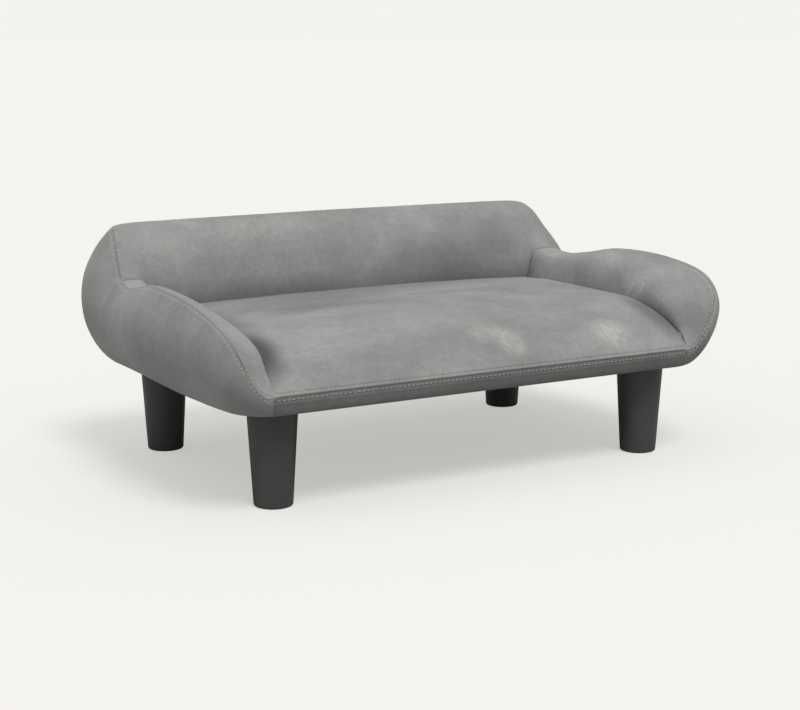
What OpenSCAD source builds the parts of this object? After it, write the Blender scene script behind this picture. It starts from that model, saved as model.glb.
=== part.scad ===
/* [Seat] */
// Height of the legs, which is the height of the dust cover above the floor
leg_h = 110.5; // [60:0.5:200]
// Width of the seat between its two front corners
seat_w = 546; // [420:1:760]
// How much narrower the seat is where it meets the back
seat_taper = 16; // [0:1:40]
// Depth of the seat from the front seam to the back
seat_d = 335; // [280:1:420]
// Height of the front band from the lower edge to its seam
band_h = 20.7; // [14:0.1:40]
// Rise of the seat from the front seam to its sides
seat_rise = 53; // [30:1:80]
// Extra height of the seat along its middle
seat_crown = 7; // [0:0.5:16]
// Drop of the seat at the back
seat_dip = 4; // [0:0.5:12]
// Depth over which the front of the seat rolls over
roll_d = 135; // [90:1:260]
/* [Arms] */
// How far the arm seam stands outside the seat corner
arm_out = 57; // [30:1:100]
// How far the arm seam ends in front of the back of the seat
arm_end_gap = 4; // [0:0.5:20]
// Height of the arm seam above the front seam
arm_h = 99; // [70:1:150]
/* [Back] */
// How far the top corners of the back stand outside the front corners of the seat
crest_over = 29; // [10:1:50]
// How far the top seam lies behind the back of the seat
crest_set = 69; // [50:1:100]
// Height of the top seam above the lower edge
back_h = 167.7; // [130:0.1:240]
// How far the top corners stand in front of the top seam
crest_corner_d = 19.5; // [6:0.5:40]
// How far the top corners lie below the top seam
crest_corner_drop = 6; // [0:1:20]
// How far the crest rolls forward of the top seam
crest_roll = 46; // [20:1:70]
/* [Lower edge] */
// How far the lower edge stands outside the front corners of the seat
edge_over = 28; // [10:1:50]
// How far the lower edge at the rear lies behind the back of the seat
edge_rear_set = 89.5; // [70:0.5:120]
// How far the lower edge lies behind the front seam
edge_set = 6; // [2:0.5:20]
// Radius of the lower edge at the front corners
edge_front_r = 39; // [20:1:80]
// Radius of the lower edge at the rear corners
edge_rear_r = 73; // [50:1:110]
/* [Covers and padding] */
// Thickness of the velvet with its backing
cover_t = 1.2; // [0.6:0.1:2.4]
// Width of the cover that is turned under and stapled
turn_in = 18; // [10:1:40]
// Thickness of the dust cover
dust_t = 0.6; // [0.3:0.1:1.5]
// Room left between a pad and what it lies on
soft_gap = 0.3; // [0.2:0.05:1]
/* [Frame] */
// Thickness of the base board
base_t = 15; // [9:0.5:25]
// Room between the edge of the base board and the lower edge of the cover
base_gap = 3; // [2:0.5:8]
// Thickness of the arm boards and the back board
board_t = 12; // [6:0.5:18]
// How far the arm boards end below the top of the arm seam
arm_board_gap = 44; // [30:0.5:70]
// Height of the nose of an arm board
arm_nose_h = 34; // [20:1:48]
// Depth of the front end of an arm board behind the front seam
arm_board_y = 48; // [30:1:120]
// How far the back board ends below the top seam
back_board_gap = 23.4; // [16:0.2:60]
// Radius of the top corners of the back board
back_board_r = 36; // [10:1:60]
// Width of a corner post
post_w = 22; // [16:1:30]
// Depth of a corner post
post_d = 34; // [24:1:40]
// How far the corner posts end below the top of the arm boards
post_gap = 4; // [2:1:30]
/* [Legs] */
// How far the legs stand in from the lower edge at the sides
leg_in = 51; // [40:0.5:90]
// How far the rear legs stand in from the lower edge at the rear
rear_leg_in = 64.1; // [45:0.1:110]
// Depth of the front legs behind the front seam
leg_y = 57.6; // [40:0.1:90]
// Radius of a leg at the floor
leg_foot_r = 21.9; // [15:0.1:30]
// Radius of a leg at the top
leg_top_r = 28.4; // [20:0.1:40]
// Rounding of a leg at the floor
leg_round = 3; // [1:0.5:6]
// Wall of a leg
leg_wall = 3; // [2:0.5:6]
// Floor of a leg
leg_floor = 4; // [2:0.5:8]
// Radius of the boss inside a leg
leg_boss_r = 9; // [7:0.5:14]
// Thickness of the ribs inside a leg
leg_rib = 2.5; // [1.5:0.5:5]
/* [Fasteners] */
// Radius of a leg stud
stud_r = 4; // [3:0.5:5]
// Depth of a stud inside its leg
stud_in_leg = 30; // [16:1:50]
// Room round a stud in its hole
stud_fit = 0.05; // [0.02:0.01:0.2]
// Wall of the barrel of a tee nut
nut_wall = 1.2; // [0.8:0.1:2]
// Radius of the flange of a tee nut
nut_flange_r = 11; // [8:0.5:14]
// Thickness of the flange of a tee nut
nut_flange_t = 1.5; // [1:0.1:2.5]
// Radius of a wood screw
screw_r = 2; // [1.5:0.1:3]
// Length of a wood screw
screw_l = 38; // [24:1:50]
// Length of a wood screw that holds a post
post_screw_l = 30; // [20:1:50]
// Radius of the head of a wood screw
screw_head_r = 3.9; // [3:0.1:5]
// Width of a staple
staple_w = 9; // [6:0.5:12]
// Thickness of the wire of a staple
staple_wire = 0.9; // [0.5:0.1:1.4]
// Length of the legs of a staple
staple_leg = 7; // [4:0.5:10]
// Distance between staples along the edge
staple_step = 45; // [25:1:80]

/* [Hidden] */
$fn = 48;

// Colours
velvet = [0.56, 0.56, 0.55];
velvet_side = [0.47, 0.48, 0.47];
velvet_back = [0.52, 0.53, 0.52];
foam = [0.93, 0.88, 0.72];
plywood = [0.76, 0.62, 0.42];
plastic = [0.16, 0.16, 0.16];
steel = [0.72, 0.73, 0.75];
cloth_black = [0.1, 0.1, 0.11];

// Shapes of the seams, as shares of the sizes that they follow
// Out, back and up along the arm seam, from the front corner to the back
arm_seam_shares = [
    [0, 0, 0], [0.14, 0, 0.02], [0.33, 0, 0.115], [0.54, 0, 0.31], [0.72, 0.003, 0.525],
    [0.86, 0.033, 0.717], [0.965, 0.112, 0.86], [1, 0.236, 0.95], [1, 0.43, 1],
    [0.947, 0.63, 0.98], [0.84, 0.78, 0.885], [0.77, 0.9, 0.825], [0.67, 1, 0.865]
];
// In, back and up along the sloped end of the back
wing_seam_shares = [[0, 0, 0], [0.33, 0.42, 0.49], [0.67, 0.71, 0.83], [1, 1, 1]];
// Out, forward and down along the top seam, from the corner to the middle
top_seam_shares = [
    [1, 1, 1], [0.98, 0.58, 0.42], [0.927, 0.21, 0.25], [0.795, 0.05, 0.17], [0.4, 0, 0.08], [0, 0, 0]
];
// Fullness of the outside, low and high, from the front middle round to the rear middle
low_bulge_shares = [0.23, 0.23, 0.385, 0.385, 0.235, 0.3, 0.3];
high_bulge_shares = [0.07, 0.13, 0.35, 0.42, 0.55, 0.36, 0.36];
// How far the fullness starts below the seam
seam_drop_shares = [0.38, 0.38, 0.38, 0.37, 0.3, 0.34, 0.34];
// Where the fullness of a side and of the rear is reached, where the back's corner meets the edge, and how
// far the front band runs round the front corner
full_side_share = 0.3;
full_rear_share = 0.2;
arm_foot_share = 0.949;
band_end_share = 0.19;
corner_foot_angle = 57;
// Fullness of the inside of an arm, at the front, halfway and at the back
arm_lean_shares = [-0.73, 0.23, -0.01];
arm_rise_shares = [0.6, 0.51, 0.55];
arm_over_shares = [0.21, 0.355, 0.54];
arm_flat_shares = [-0.36, -0.14, 0.06];
// Fullness of the back
back_rise_share = 0.42;
back_forward_share = 0.065;
crest_lift_share = 0.04;
// Shape of the seat
roll_power_share = 0.63;
crown_run_share = 0.27;
dip_start_share = 0.74;
crown_fade_share = 0.45;
crown_power = 3;
row_power = 1.35;
// Reach of an arm board behind the seat and over its post, as shares of the depth of the post
board_reach_share = 0.6;
post_overlap_share = 0.3;
// Run of the curved nose of an arm board for its rise
nose_run_share = 2;
// Places of the wood screws along a board, up a post and across it
arm_screw_shares = [0.12, 0.5, 0.88];
back_screw_shares = [-0.36, 0, 0.36];
side_post_screw_shares = [0.3, 0.75];
rear_post_screw_shares = [0.19, 0.64];
rear_post_screw_side_share = 0.33;
// Places of the staples and of the edge of the dust cover across the turned-in cover
staple_share = 0.67;
dust_edge_share = 0.33;

// Counts of strips: front half, arm, end of the back, and rows of the outside
n_top = 10;
n_arm = 14;
n_in = 5;
n_out = 6;
// Columns of the top that belong to a side cover
n_wrap = 3;
// Points of a corner of the lower edge, and points between two points of a seam
n_arc = 10;
n_smooth = 6;
// Reach of a cut past the face that it opens
over = 1;

// Room above the dust cover and above the turned-in cover
dust_gap = 0.2;
board_gap = 0.1;
// Sizes below this count as none
tiny = 0.000001;
// Angle of a quarter turn
quarter = 90;

// Heights
edge_z = leg_h + dust_t + dust_gap;
base_z = edge_z + cover_t + board_gap;
base_top = base_z + base_t;
seam_z = edge_z + band_h;
crest_z = edge_z + back_h;
skin_gap = cover_t + soft_gap;
pad_floor = base_top + soft_gap;
// Sizes that follow the seat
arm_d = seat_d - arm_end_gap;
crest_w = seat_w + 2 * crest_over;
crest_d = seat_d + crest_set;
edge_w = seat_w + 2 * edge_over;
edge_d = seat_d + edge_rear_set - edge_set;
// Heights and places of the frame
arm_board_h = seam_z + arm_h - arm_board_gap - base_top;
back_board_h = crest_z - back_board_gap - base_top;
post_h = arm_board_h - post_gap;
arm_board_x = edge_w / 2 - base_gap - board_t - skin_gap;
arm_board_end = seat_d + post_d * board_reach_share;
post_x = arm_board_x - post_w;
post_y = arm_board_end - post_d * post_overlap_share;
back_board_y = post_y + post_d;
rear_centre_y = edge_set + edge_d - edge_rear_r;
back_board_w = 2 * (edge_w / 2 - edge_rear_r
    + sqrt(pow(edge_rear_r - base_gap, 2) - pow(back_board_y + board_t - rear_centre_y, 2)) - skin_gap);

// General functions
function clip(v) = max(0, min(1, v));
function mix(a, b, t) = a + (b - a) * t;
function unit(v) = v / norm(v);
function flip(p) = [-p[0], p[1], p[2]];
function end_of(c) = c[len(c) - 1];
function tail(c) = [for (i = [1 : len(c) - 1]) c[i]];
function spline(a, b, c, d, t) =
    0.5 * (2 * b + (c - a) * t + (2 * a - 5 * b + 4 * c - d) * t * t + (3 * b - a - 3 * c + d) * t * t * t);
function before(p, i) = i == 0 ? 2 * p[0] - p[1] : p[i - 1];
function after(p, i) = i == len(p) - 2 ? 2 * end_of(p) - p[i] : p[i + 2];
function smooth(p) = [
    for (i = [0 : len(p) - 2]) for (k = [0 : n_smooth - 1])
        spline(before(p, i), p[i], p[i + 1], after(p, i), k / n_smooth),
    end_of(p)
];
function runs(c) = [
    for (i = 0, s = 0; i < len(c); s = s + norm(c[min(i + 1, len(c) - 1)] - c[i]), i = i + 1) s
];
function place(c, d, s) = [
    for (k = [0 : len(c[0]) - 1]) lookup(s, [for (i = [0 : len(c) - 1]) [d[i], c[i][k]]])
];
function spread(c, n) = let (d = runs(c)) [for (j = [0 : n]) place(c, d, end_of(d) * j / n)];
function bezier(a, b, c, d, t) =
    pow(1 - t, 3) * a + 3 * pow(1 - t, 2) * t * b + 3 * (1 - t) * t * t * c + pow(t, 3) * d;

// Height of the seat above the floor
function row_y(k) = seat_d * pow(k / n_arm, row_power);
function seat_half(y) = (seat_w - seat_taper * y / seat_d) / 2;
function seat_z(side, y) =
    let (q = clip(y / roll_d), back = clip((y / seat_d - dip_start_share) / (1 - dip_start_share)))
    seam_z + seat_rise * pow(1 - pow(1 - q, 2), roll_power_share) - seat_dip * back * back
    + seat_crown * (1 - pow(abs(side), crown_power)) * clip(y / (seat_d * crown_run_share))
    * (1 - crown_fade_share * back);

// Seams of the right half
arm_seam = spread(smooth([
    for (s = arm_seam_shares) [seat_w / 2 + arm_out * s[0], arm_d * s[1], seam_z + arm_h * s[2]]
]), n_arm);
arm_end = end_of(arm_seam);
corner = [crest_w / 2, crest_d - crest_corner_d, crest_z - crest_corner_drop];
wing_seam = spread(smooth([
    for (s = wing_seam_shares) [for (k = [0 : 2]) mix(arm_end[k], corner[k], s[k])]
]), n_in);
top_seam = spread(smooth([
    for (s = top_seam_shares)
        [crest_w / 2 * s[0], crest_d - crest_corner_d * s[1], crest_z - crest_corner_drop * s[2]]
]), n_top);
front_seam = [for (i = [0 : n_top]) [seat_w / 2 * i / n_top, 0, seam_z]];
rim = concat(front_seam, tail(arm_seam), tail(wing_seam), tail(top_seam));
first_arm = n_top;
first_wing = n_top + n_arm;
first_top = first_wing + n_in;
last_column = first_top + n_top;

// Lower edge of the right half, moved in by d
function corner_arc(x, y, r, from) = [
    for (k = [0 : n_arc]) let (a = from + quarter * k / n_arc) [x + r * cos(a), y + r * sin(a)]
];
function edge_line(d) = concat(
    [[0, edge_set + d]],
    corner_arc(edge_w / 2 - edge_front_r, edge_set + edge_front_r, edge_front_r - d, -quarter),
    corner_arc(edge_w / 2 - edge_rear_r, rear_centre_y, edge_rear_r - d, 0),
    [[0, edge_set + edge_d - d]]
);
edge = edge_line(0);
edge_runs = runs(edge);
edge_l = end_of(edge_runs);
run_front = edge_w / 2 - edge_front_r;
run_band = run_front + edge_front_r * PI / 2 * band_end_share;
run_corner = run_front + edge_front_r * PI / 2;
run_arm = run_corner + arm_d * arm_foot_share - edge_set - edge_front_r;
run_wing = run_corner + rear_centre_y - edge_set - edge_front_r + edge_rear_r * corner_foot_angle * PI / 180;
bulge_runs = [
    0, run_front, run_corner, run_corner + arm_d * full_side_share,
    run_wing, run_wing + crest_w / 2 * full_rear_share, edge_l
];
function share_run(c, i) = let (d = runs(c)) d[i] / end_of(d);
function edge_run(i) =
    i <= first_arm ? run_band * i / n_top
    : i <= first_wing ? mix(run_band, run_arm, share_run(arm_seam, i - first_arm))
    : i <= first_top ? mix(run_arm, run_wing, share_run(wing_seam, i - first_wing))
    : mix(run_wing, edge_l, share_run(top_seam, i - first_top));
function by_run(shares, s) = lookup(s, [for (k = [0 : len(shares) - 1]) [bulge_runs[k], shares[k]]]);
edge_reach = edge_front_r / 6;
function edge_out(s) =
    let (a = place(edge, edge_runs, max(0, s - edge_reach)),
        b = place(edge, edge_runs, min(edge_l, s + edge_reach)), t = unit(b - a))
    [t[1], -t[0], 0];

// Outside of the right half: one column for each point of the rim, from the lower edge up
function outside_column(i) =
    let (s = edge_run(i), p = place(edge, edge_runs, s), foot = [p[0], p[1], edge_z], out = edge_out(s),
        h = rim[i][2] - edge_z, low = foot + out * h * by_run(low_bulge_shares, s),
        high = rim[i] + out * h * by_run(high_bulge_shares, s) - [0, 0, h * by_run(seam_drop_shares, s)])
    concat([foot - out * turn_in], [for (j = [0 : n_out]) bezier(foot, low, high, rim[i], j / n_out)]);
outside = [for (i = [0 : last_column]) outside_column(i)];

// Seat of the right half, from the middle to the side
seat = [
    for (i = [0 : n_top]) [
        for (k = [0 : n_arm]) let (y = row_y(k)) [seat_half(y) * i / n_top, y, seat_z(i / n_top, y)]
    ]
];
side_valley = seat[n_top];
back_valley = [for (i = [n_top : -1 : 0]) seat[i][n_arm]];

// Inside of the right arm: one column for each point of its seam, from the seat up
function bent(three, t) =
    three[0] * (1 - t) * (1 - 2 * t) + 4 * three[1] * t * (1 - t) + three[2] * t * (2 * t - 1);
arm = [
    for (k = [0 : n_arm])
        let (a = side_valley[k], b = arm_seam[k], w = norm(b - a), t = k / n_arm,
            low = a + w * [bent(arm_lean_shares, t), 0, bent(arm_rise_shares, t)],
            high = b + w * [-bent(arm_over_shares, t), 0, bent(arm_flat_shares, t)])
        [for (j = [0 : n_in]) bezier(a, low, high, b, j / n_in)]
];

// Inside of the right half of the back, from the arm round to the middle
back_foot = concat([for (j = [n_in : -1 : 0]) arm[n_arm][j]], tail(back_valley));
back_head = concat(wing_seam, tail(top_seam));
back = [
    for (i = [0 : n_in + n_top])
        let (a = back_foot[i], b = back_head[i], h = b[2] - a[2], side = (b[0] - a[0]) / 3,
            roll = crest_roll * clip((b[1] - seat_d) / (crest_d - seat_d)),
            low = a + [side, -h * back_forward_share, h * back_rise_share],
            high = b + [-side, -roll, h * crest_lift_share])
        [for (j = [0 : n_in]) bezier(a, low, high, b, j / n_in)]
];

// Direction straight out of a sheet of points, by its neighbours
function slope(g, i, j, side) =
    let (a = g[min(i + 1, len(g) - 1)][j] - g[max(i - 1, 0)][j],
        b = g[i][min(j + 1, len(g[0]) - 1)] - g[i][max(j - 1, 0)], c = cross(a, b))
    side * c / max(norm(c), tiny);
function outward(g, i, j, side, middle) =
    let (n = slope(g, i, j, side)) i == middle ? unit([0, n[1], n[2]]) : n;
function seam_way(list) =
    let (n = unit([for (k = [0 : 2]) let (c = [for (v = list) v[k]]) c * [for (v = list) 1]]),
        lean = [for (v = list) v * n])
    n * len(list) / (lean * [for (v = list) 1]);
function top_way(i) = outward(outside, i, n_out + 1, 1, i <= first_arm ? 0 : last_column);
function seat_way(i, k) = outward(seat, i, k, 1, 0);
function arm_way(k, j) = outward(arm, max(k, 1), j, -1, -1);
function back_way(i, j) = outward(back, max(i, 1), j, -1, n_in + n_top);

// Ways in at the seams, where two or three covers meet
front_corner_way = seam_way([top_way(first_arm), seat_way(n_top, 1), arm_way(1, 1)]);
arm_end_way = seam_way([top_way(first_wing), arm_way(n_arm, n_in), back_way(1, n_in)]);
seat_end_way = seam_way([seat_way(n_top, n_arm), arm_way(n_arm, 0), back_way(n_in, 0)]);
function rim_way(i) =
    i == first_arm ? front_corner_way
    : i == first_wing ? arm_end_way
    : i < first_arm ? seam_way([top_way(i), seat_way(i, 0)])
    : i < first_wing ? seam_way([top_way(i), arm_way(i - first_arm, n_in)])
    : seam_way([top_way(i), back_way(i - first_wing, n_in)]);
function side_valley_way(k) =
    k == 0 ? front_corner_way : k == n_arm ? seat_end_way : seam_way([seat_way(n_top, k), arm_way(k, 0)]);
function back_foot_way(i) =
    i == 0 ? arm_end_way
    : i == n_in ? seat_end_way
    : i < n_in ? seam_way([arm_way(n_arm, n_in - i), back_way(i, 0)])
    : seam_way([seat_way(n_top - i + n_in, n_arm), back_way(i, 0)]);

// The same sheets moved in by d
function outside_in(d) = [
    for (i = [0 : last_column]) [
        for (j = [0 : n_out + 1]) outside[i][j] - d * (
            j == n_out + 1 ? rim_way(i)
            : j == 0 ? [0, 0, -1]
            : outward(outside, i, j, 1, i <= first_arm ? 0 : last_column))
    ]
];
function seat_in(d) = [
    for (i = [0 : n_top]) [
        for (k = [0 : n_arm]) seat[i][k] - d * (
            i == n_top ? side_valley_way(k)
            : k == 0 ? rim_way(i)
            : k == n_arm ? back_foot_way(n_in + n_top - i)
            : seat_way(i, k))
    ]
];
function arm_in(d) = [
    for (k = [0 : n_arm]) [
        for (j = [0 : n_in]) arm[k][j] - d * (
            j == n_in ? rim_way(first_arm + k)
            : j == 0 || k == 0 ? side_valley_way(k)
            : k == n_arm ? back_foot_way(n_in - j)
            : arm_way(k, j))
    ]
];
function back_in(d) = [
    for (i = [0 : n_in + n_top]) [
        for (j = [0 : n_in]) back[i][j] - d * (
            j == n_in ? rim_way(first_wing + i)
            : j == 0 || i == 0 ? back_foot_way(i)
            : back_way(i, j))
    ]
];
function part_of(g, a, b) = [for (i = [a : b]) g[i]];
function whole(g) = concat([for (i = [len(g) - 1 : -1 : 1]) [for (p = g[i]) flip(p)]], g);
function turned(g) = [for (i = [len(g) - 1 : -1 : 0]) g[i]];

// A sheet with a thickness, from its outer and inner points; its first and last columns may end in a point
function tri(a, b, c) = a == b || b == c || a == c ? [] : [[a, b, c]];
function quad_faces(a, b, c, d) = concat(tri(a, b, c), tri(a, c, d));
module sheet(outer, inner, point_first = false, point_last = false) {
    n = len(outer) - 1;
    m = len(outer[0]);
    size = (n + 1) * m;
    function id(i, j, s) = s * size + i * m + ((i == 0 && point_first) || (i == n && point_last) ? 0 : j);
    faces = [
        for (i = [0 : n - 1]) for (j = [0 : m - 2]) each concat(
            quad_faces(id(i, j, 0), id(i, j + 1, 0), id(i + 1, j + 1, 0), id(i + 1, j, 0)),
            quad_faces(id(i, j, 1), id(i + 1, j, 1), id(i + 1, j + 1, 1), id(i, j + 1, 1))),
        for (i = [0 : n - 1]) each concat(
            quad_faces(id(i, 0, 0), id(i + 1, 0, 0), id(i + 1, 0, 1), id(i, 0, 1)),
            quad_faces(id(i, m - 1, 0), id(i, m - 1, 1), id(i + 1, m - 1, 1), id(i + 1, m - 1, 0))),
        for (j = [0 : m - 2]) each concat(
            quad_faces(id(0, j, 0), id(0, j, 1), id(0, j + 1, 1), id(0, j + 1, 0)),
            quad_faces(id(n, j, 0), id(n, j + 1, 0), id(n, j + 1, 1), id(n, j, 1)))
    ];
    polyhedron(concat([for (c = outer) each c], [for (c = inner) each c]), faces);
}
// A closed form through rings of points, all with the same count. Points that fall together are one corner,
// and each end is a fan round the middle of its ring
function middle(ring) = [for (p = ring) 1] * ring / len(ring);
module loft(rings) {
    n = len(rings) - 1;
    m = len(rings[0]);
    size = (n + 1) * m;
    function like(i, p) = i < 0 ? [] : [for (k = [0 : m - 1]) if (rings[i][k] == p) k];
    function id(i, j) =
        let (p = rings[i][j], same = like(i, p), last = like(i - 1, p))
        len(last) > 0 ? id(i - 1, last[0]) : i * m + same[0];
    ids = [for (i = [0 : n]) [for (j = [0 : m]) id(i, j % m)]];
    faces = [
        for (i = [0 : n - 1]) for (j = [0 : m - 1])
            each quad_faces(ids[i][j], ids[i][j + 1], ids[i + 1][j + 1], ids[i + 1][j]),
        for (j = [0 : m - 1]) each tri(ids[0][j + 1], ids[0][j], size),
        for (j = [0 : m - 1]) each tri(ids[n][j], ids[n][j + 1], size + 1)
    ];
    polyhedron(concat([for (r = rings) each r], [middle(rings[0]), middle(rings[n])]), faces);
}

// Everything is drawn from the front seam back and then centred
outside_y = [for (c = outside) for (p = c) p[1]];
centre_y = (max(outside_y) + min(outside_y)) / 2;
module centred() {
    translate([0, -centre_y, 0])
        children();
}
module both_sides() {
    children();
    mirror([1, 0, 0])
        children();
}

// Legs, studs and tee nuts stand at four places
rear_leg_y = edge_set + edge_d - rear_leg_in;
leg_side = edge_w / 2 - leg_in;
module leg() {
    slant = (leg_top_r - leg_foot_r) / leg_h;
    inside_low = leg_foot_r + slant * leg_floor - leg_wall;
    inside_high = leg_top_r - leg_wall;
    color(plastic)
        difference() {
            union() {
                rotate_extrude()
                    polygon(concat(
                        [[0, 0], [leg_foot_r - leg_round, 0]],
                        [for (k = [1 : n_smooth]) let (a = quarter * k / n_smooth)
                            [leg_foot_r - leg_round * (1 - sin(a)), leg_round * (1 - cos(a))]],
                        [[leg_top_r, leg_h], [inside_high, leg_h], [inside_low, leg_floor],
                            [leg_boss_r, leg_floor], [leg_boss_r, leg_h], [0, leg_h]]));
                for (a = [0, quarter])
                    intersection() {
                        rotate([0, 0, a])
                            translate([-leg_top_r, -leg_rib / 2, leg_floor])
                                cube([2 * leg_top_r, leg_rib, leg_h - leg_floor]);
                        translate([0, 0, leg_floor])
                            cylinder(r1 = inside_low + leg_wall / 2, r2 = inside_high + leg_wall / 2,
                                h = leg_h - leg_floor);
                    }
            }
            translate([0, 0, leg_h - stud_in_leg])
                cylinder(r = stud_r + stud_fit, h = stud_in_leg + over);
        }
}
module stud() {
    color(steel)
        translate([0, 0, leg_h - stud_in_leg])
            cylinder(r = stud_r, h = stud_in_leg + base_top - leg_h - nut_flange_t);
}
nut_r = stud_r + stud_fit + nut_wall;
module tee_nut() {
    color(steel)
        difference() {
            union() {
                translate([0, 0, base_z + nut_wall])
                    cylinder(r = nut_r, h = base_t - nut_wall - stud_fit);
                translate([0, 0, base_top - nut_flange_t - stud_fit])
                    cylinder(r = nut_flange_r, h = nut_flange_t);
            }
            cylinder(r = stud_r + stud_fit, h = base_top + over);
        }
}
module at_leg(side, y) {
    centred()
        translate([side * leg_side, y, 0])
            children();
}
module front_left_leg() at_leg(-1, leg_y) leg();
module front_right_leg() at_leg(1, leg_y) leg();
module rear_left_leg() at_leg(-1, rear_leg_y) leg();
module rear_right_leg() at_leg(1, rear_leg_y) leg();
module front_left_stud() at_leg(-1, leg_y) stud();
module front_right_stud() at_leg(1, leg_y) stud();
module rear_left_stud() at_leg(-1, rear_leg_y) stud();
module rear_right_stud() at_leg(1, rear_leg_y) stud();
module front_left_tee_nut() at_leg(-1, leg_y) tee_nut();
module front_right_tee_nut() at_leg(1, leg_y) tee_nut();
module rear_left_tee_nut() at_leg(-1, rear_leg_y) tee_nut();
module rear_right_tee_nut() at_leg(1, rear_leg_y) tee_nut();

// Wood screws: three under each arm board, three under the back board, one under each post
arm_mid_x = arm_board_x + board_t / 2;
arm_board_l = arm_board_end - arm_board_y;
base_screw_places = concat(
    [for (s = arm_screw_shares) for (x = [-arm_mid_x, arm_mid_x]) [x, arm_board_y + arm_board_l * s]],
    [for (s = back_screw_shares) [back_board_w * s, back_board_y + board_t / 2]],
    [for (x = [-1, 1]) [x * (post_x + post_w / 2), post_y + post_d / 2]]
);
module screw(length, room) {
    cylinder(r = screw_r + room, h = length + room);
    cylinder(r1 = screw_head_r + room, r2 = screw_r + room, h = screw_head_r - screw_r);
}
module base_screw_set(room) {
    for (p = base_screw_places)
        translate([p[0], p[1], base_z])
            screw(screw_l, room);
}
module post_screw_set(room) {
    both_sides() {
        for (s = side_post_screw_shares)
            translate([arm_board_x + board_t, (post_y + arm_board_end) / 2, base_top + post_h * s])
                rotate([0, -quarter, 0])
                    screw(post_screw_l, room);
        rear_x = post_x + post_w * rear_post_screw_side_share;
        for (s = rear_post_screw_shares)
            translate([rear_x, back_board_y + board_t, base_top + post_h * s])
                rotate([quarter, 0, 0])
                    screw(post_screw_l, room);
    }
}
module base_screws() {
    color(steel)
        centred()
            base_screw_set(0);
}
module post_screws() {
    color(steel)
        centred()
            intersection() {
                post_screw_set(0);
                translate([-edge_w, 0, 0])
                    cube([2 * edge_w, back_board_y + board_t, crest_z]);
            }
}

// Boards of the frame
module plate(d) {
    line = edge_line(d);
    polygon(concat(line, [for (i = [len(line) - 2 : -1 : 1]) [-line[i][0], line[i][1]]]));
}
module base_board() {
    color(plywood)
        centred()
            difference() {
                translate([0, 0, base_z])
                    linear_extrude(base_t)
                        plate(base_gap);
                for (x = [-leg_side, leg_side], y = [leg_y, rear_leg_y])
                    translate([x, y, 0]) {
                        cylinder(r = nut_r + stud_fit, h = base_top + over);
                        translate([0, 0, base_top - nut_flange_t - 2 * stud_fit])
                            cylinder(r = nut_flange_r + stud_fit, h = nut_flange_t + over);
                    }
                base_screw_set(stud_fit);
            }
}
module arm_board_form(room) {
    rise = arm_board_h - arm_nose_h;
    translate([arm_board_x - room, 0, base_top - room])
        rotate([quarter, 0, quarter])
            linear_extrude(board_t + 2 * room)
                polygon(concat(
                    [[arm_board_end + room, 0], [arm_board_end + room, arm_board_h + 2 * room]],
                    [for (k = [0 : n_arc]) let (a = quarter + quarter * k / n_arc)
                        [arm_board_y + nose_run_share * rise + (nose_run_share * rise + room) * cos(a),
                            arm_nose_h + room + (rise + room) * sin(a)]],
                    [[arm_board_y - room, 0]]));
}
module right_arm_board() {
    color(plywood)
        centred()
            difference() {
                arm_board_form(0);
                base_screw_set(stud_fit);
                post_screw_set(stud_fit);
            }
}
module left_arm_board() {
    mirror([1, 0, 0])
        right_arm_board();
}
module back_board_form(room) {
    half = back_board_w / 2;
    top = base_top + back_board_h + room;
    r = back_board_r;
    translate([0, back_board_y + board_t + room, 0])
        rotate([quarter, 0, 0])
            linear_extrude(board_t + 2 * room)
                polygon(concat(
                    [[-half - room, base_top - room], [half + room, base_top - room]],
                    [for (k = [0 : n_arc]) let (a = quarter * k / n_arc)
                        [half - r + (r + room) * cos(a), top - room - r + (r + room) * sin(a)]],
                    [for (k = [0 : n_arc]) let (a = quarter + quarter * k / n_arc)
                        [r - half + (r + room) * cos(a), top - room - r + (r + room) * sin(a)]]));
}
module back_board() {
    color(plywood)
        centred()
            difference() {
                back_board_form(0);
                base_screw_set(stud_fit);
                post_screw_set(stud_fit);
            }
}
module post_form(room) {
    translate([post_x - room, post_y - room, base_top - room])
        cube([post_w + 2 * room, post_d + 2 * room, post_h + 2 * room]);
}
module right_corner_post() {
    color(plywood)
        centred()
            difference() {
                post_form(0);
                base_screw_set(stud_fit);
                post_screw_set(stud_fit);
            }
}
module left_corner_post() {
    mirror([1, 0, 0])
        right_corner_post();
}
module frame_room() {
    both_sides() {
        arm_board_form(soft_gap);
        post_form(soft_gap);
    }
    back_board_form(soft_gap);
}

// Pads. Their rings run up the outside, over the seam, down the inside and back along the base. The arms and
// the back share one form, which is cut at the rear end of the arm seams
outside_pad = outside_in(skin_gap);
seat_pad = seat_in(skin_gap);
arm_pad = arm_in(skin_gap);
back_pad = back_in(skin_gap);
function on_floor(p) = [p[0], p[1], pad_floor];
function base_corner(i) =
    let (s = edge_run(i), p = place(edge, edge_runs, s), q = [p[0], p[1], pad_floor])
    q - edge_out(s) * (base_gap - soft_gap);
function outside_run(i) = tail(outside_pad[i]);
module seat_foam() {
    half = [
        for (i = [0 : n_top])
            let (k = 1 - soft_gap * i / n_top / seat_half(0), last = seat_pad[i][n_arm],
                end = [last[0], last[1] - soft_gap, last[2]],
                ring = concat([base_corner(i)], outside_run(i),
                    [for (r = [1 : n_arm - 1]) seat_pad[i][r]], [end, on_floor(end)]))
            [for (p = ring) [p[0] * k, p[1], p[2]]]
    ];
    color(foam)
        centred()
            loft(whole(half));
}
function arm_ring(k) = concat(
    [base_corner(first_arm + k)], outside_run(first_arm + k),
    [for (j = [1 : n_in]) end_of(outside_pad[first_arm + k])],
    [for (j = [n_in - 1 : -1 : 0]) arm_pad[k][j]],
    [on_floor(arm_pad[k][0])]
);
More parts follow.
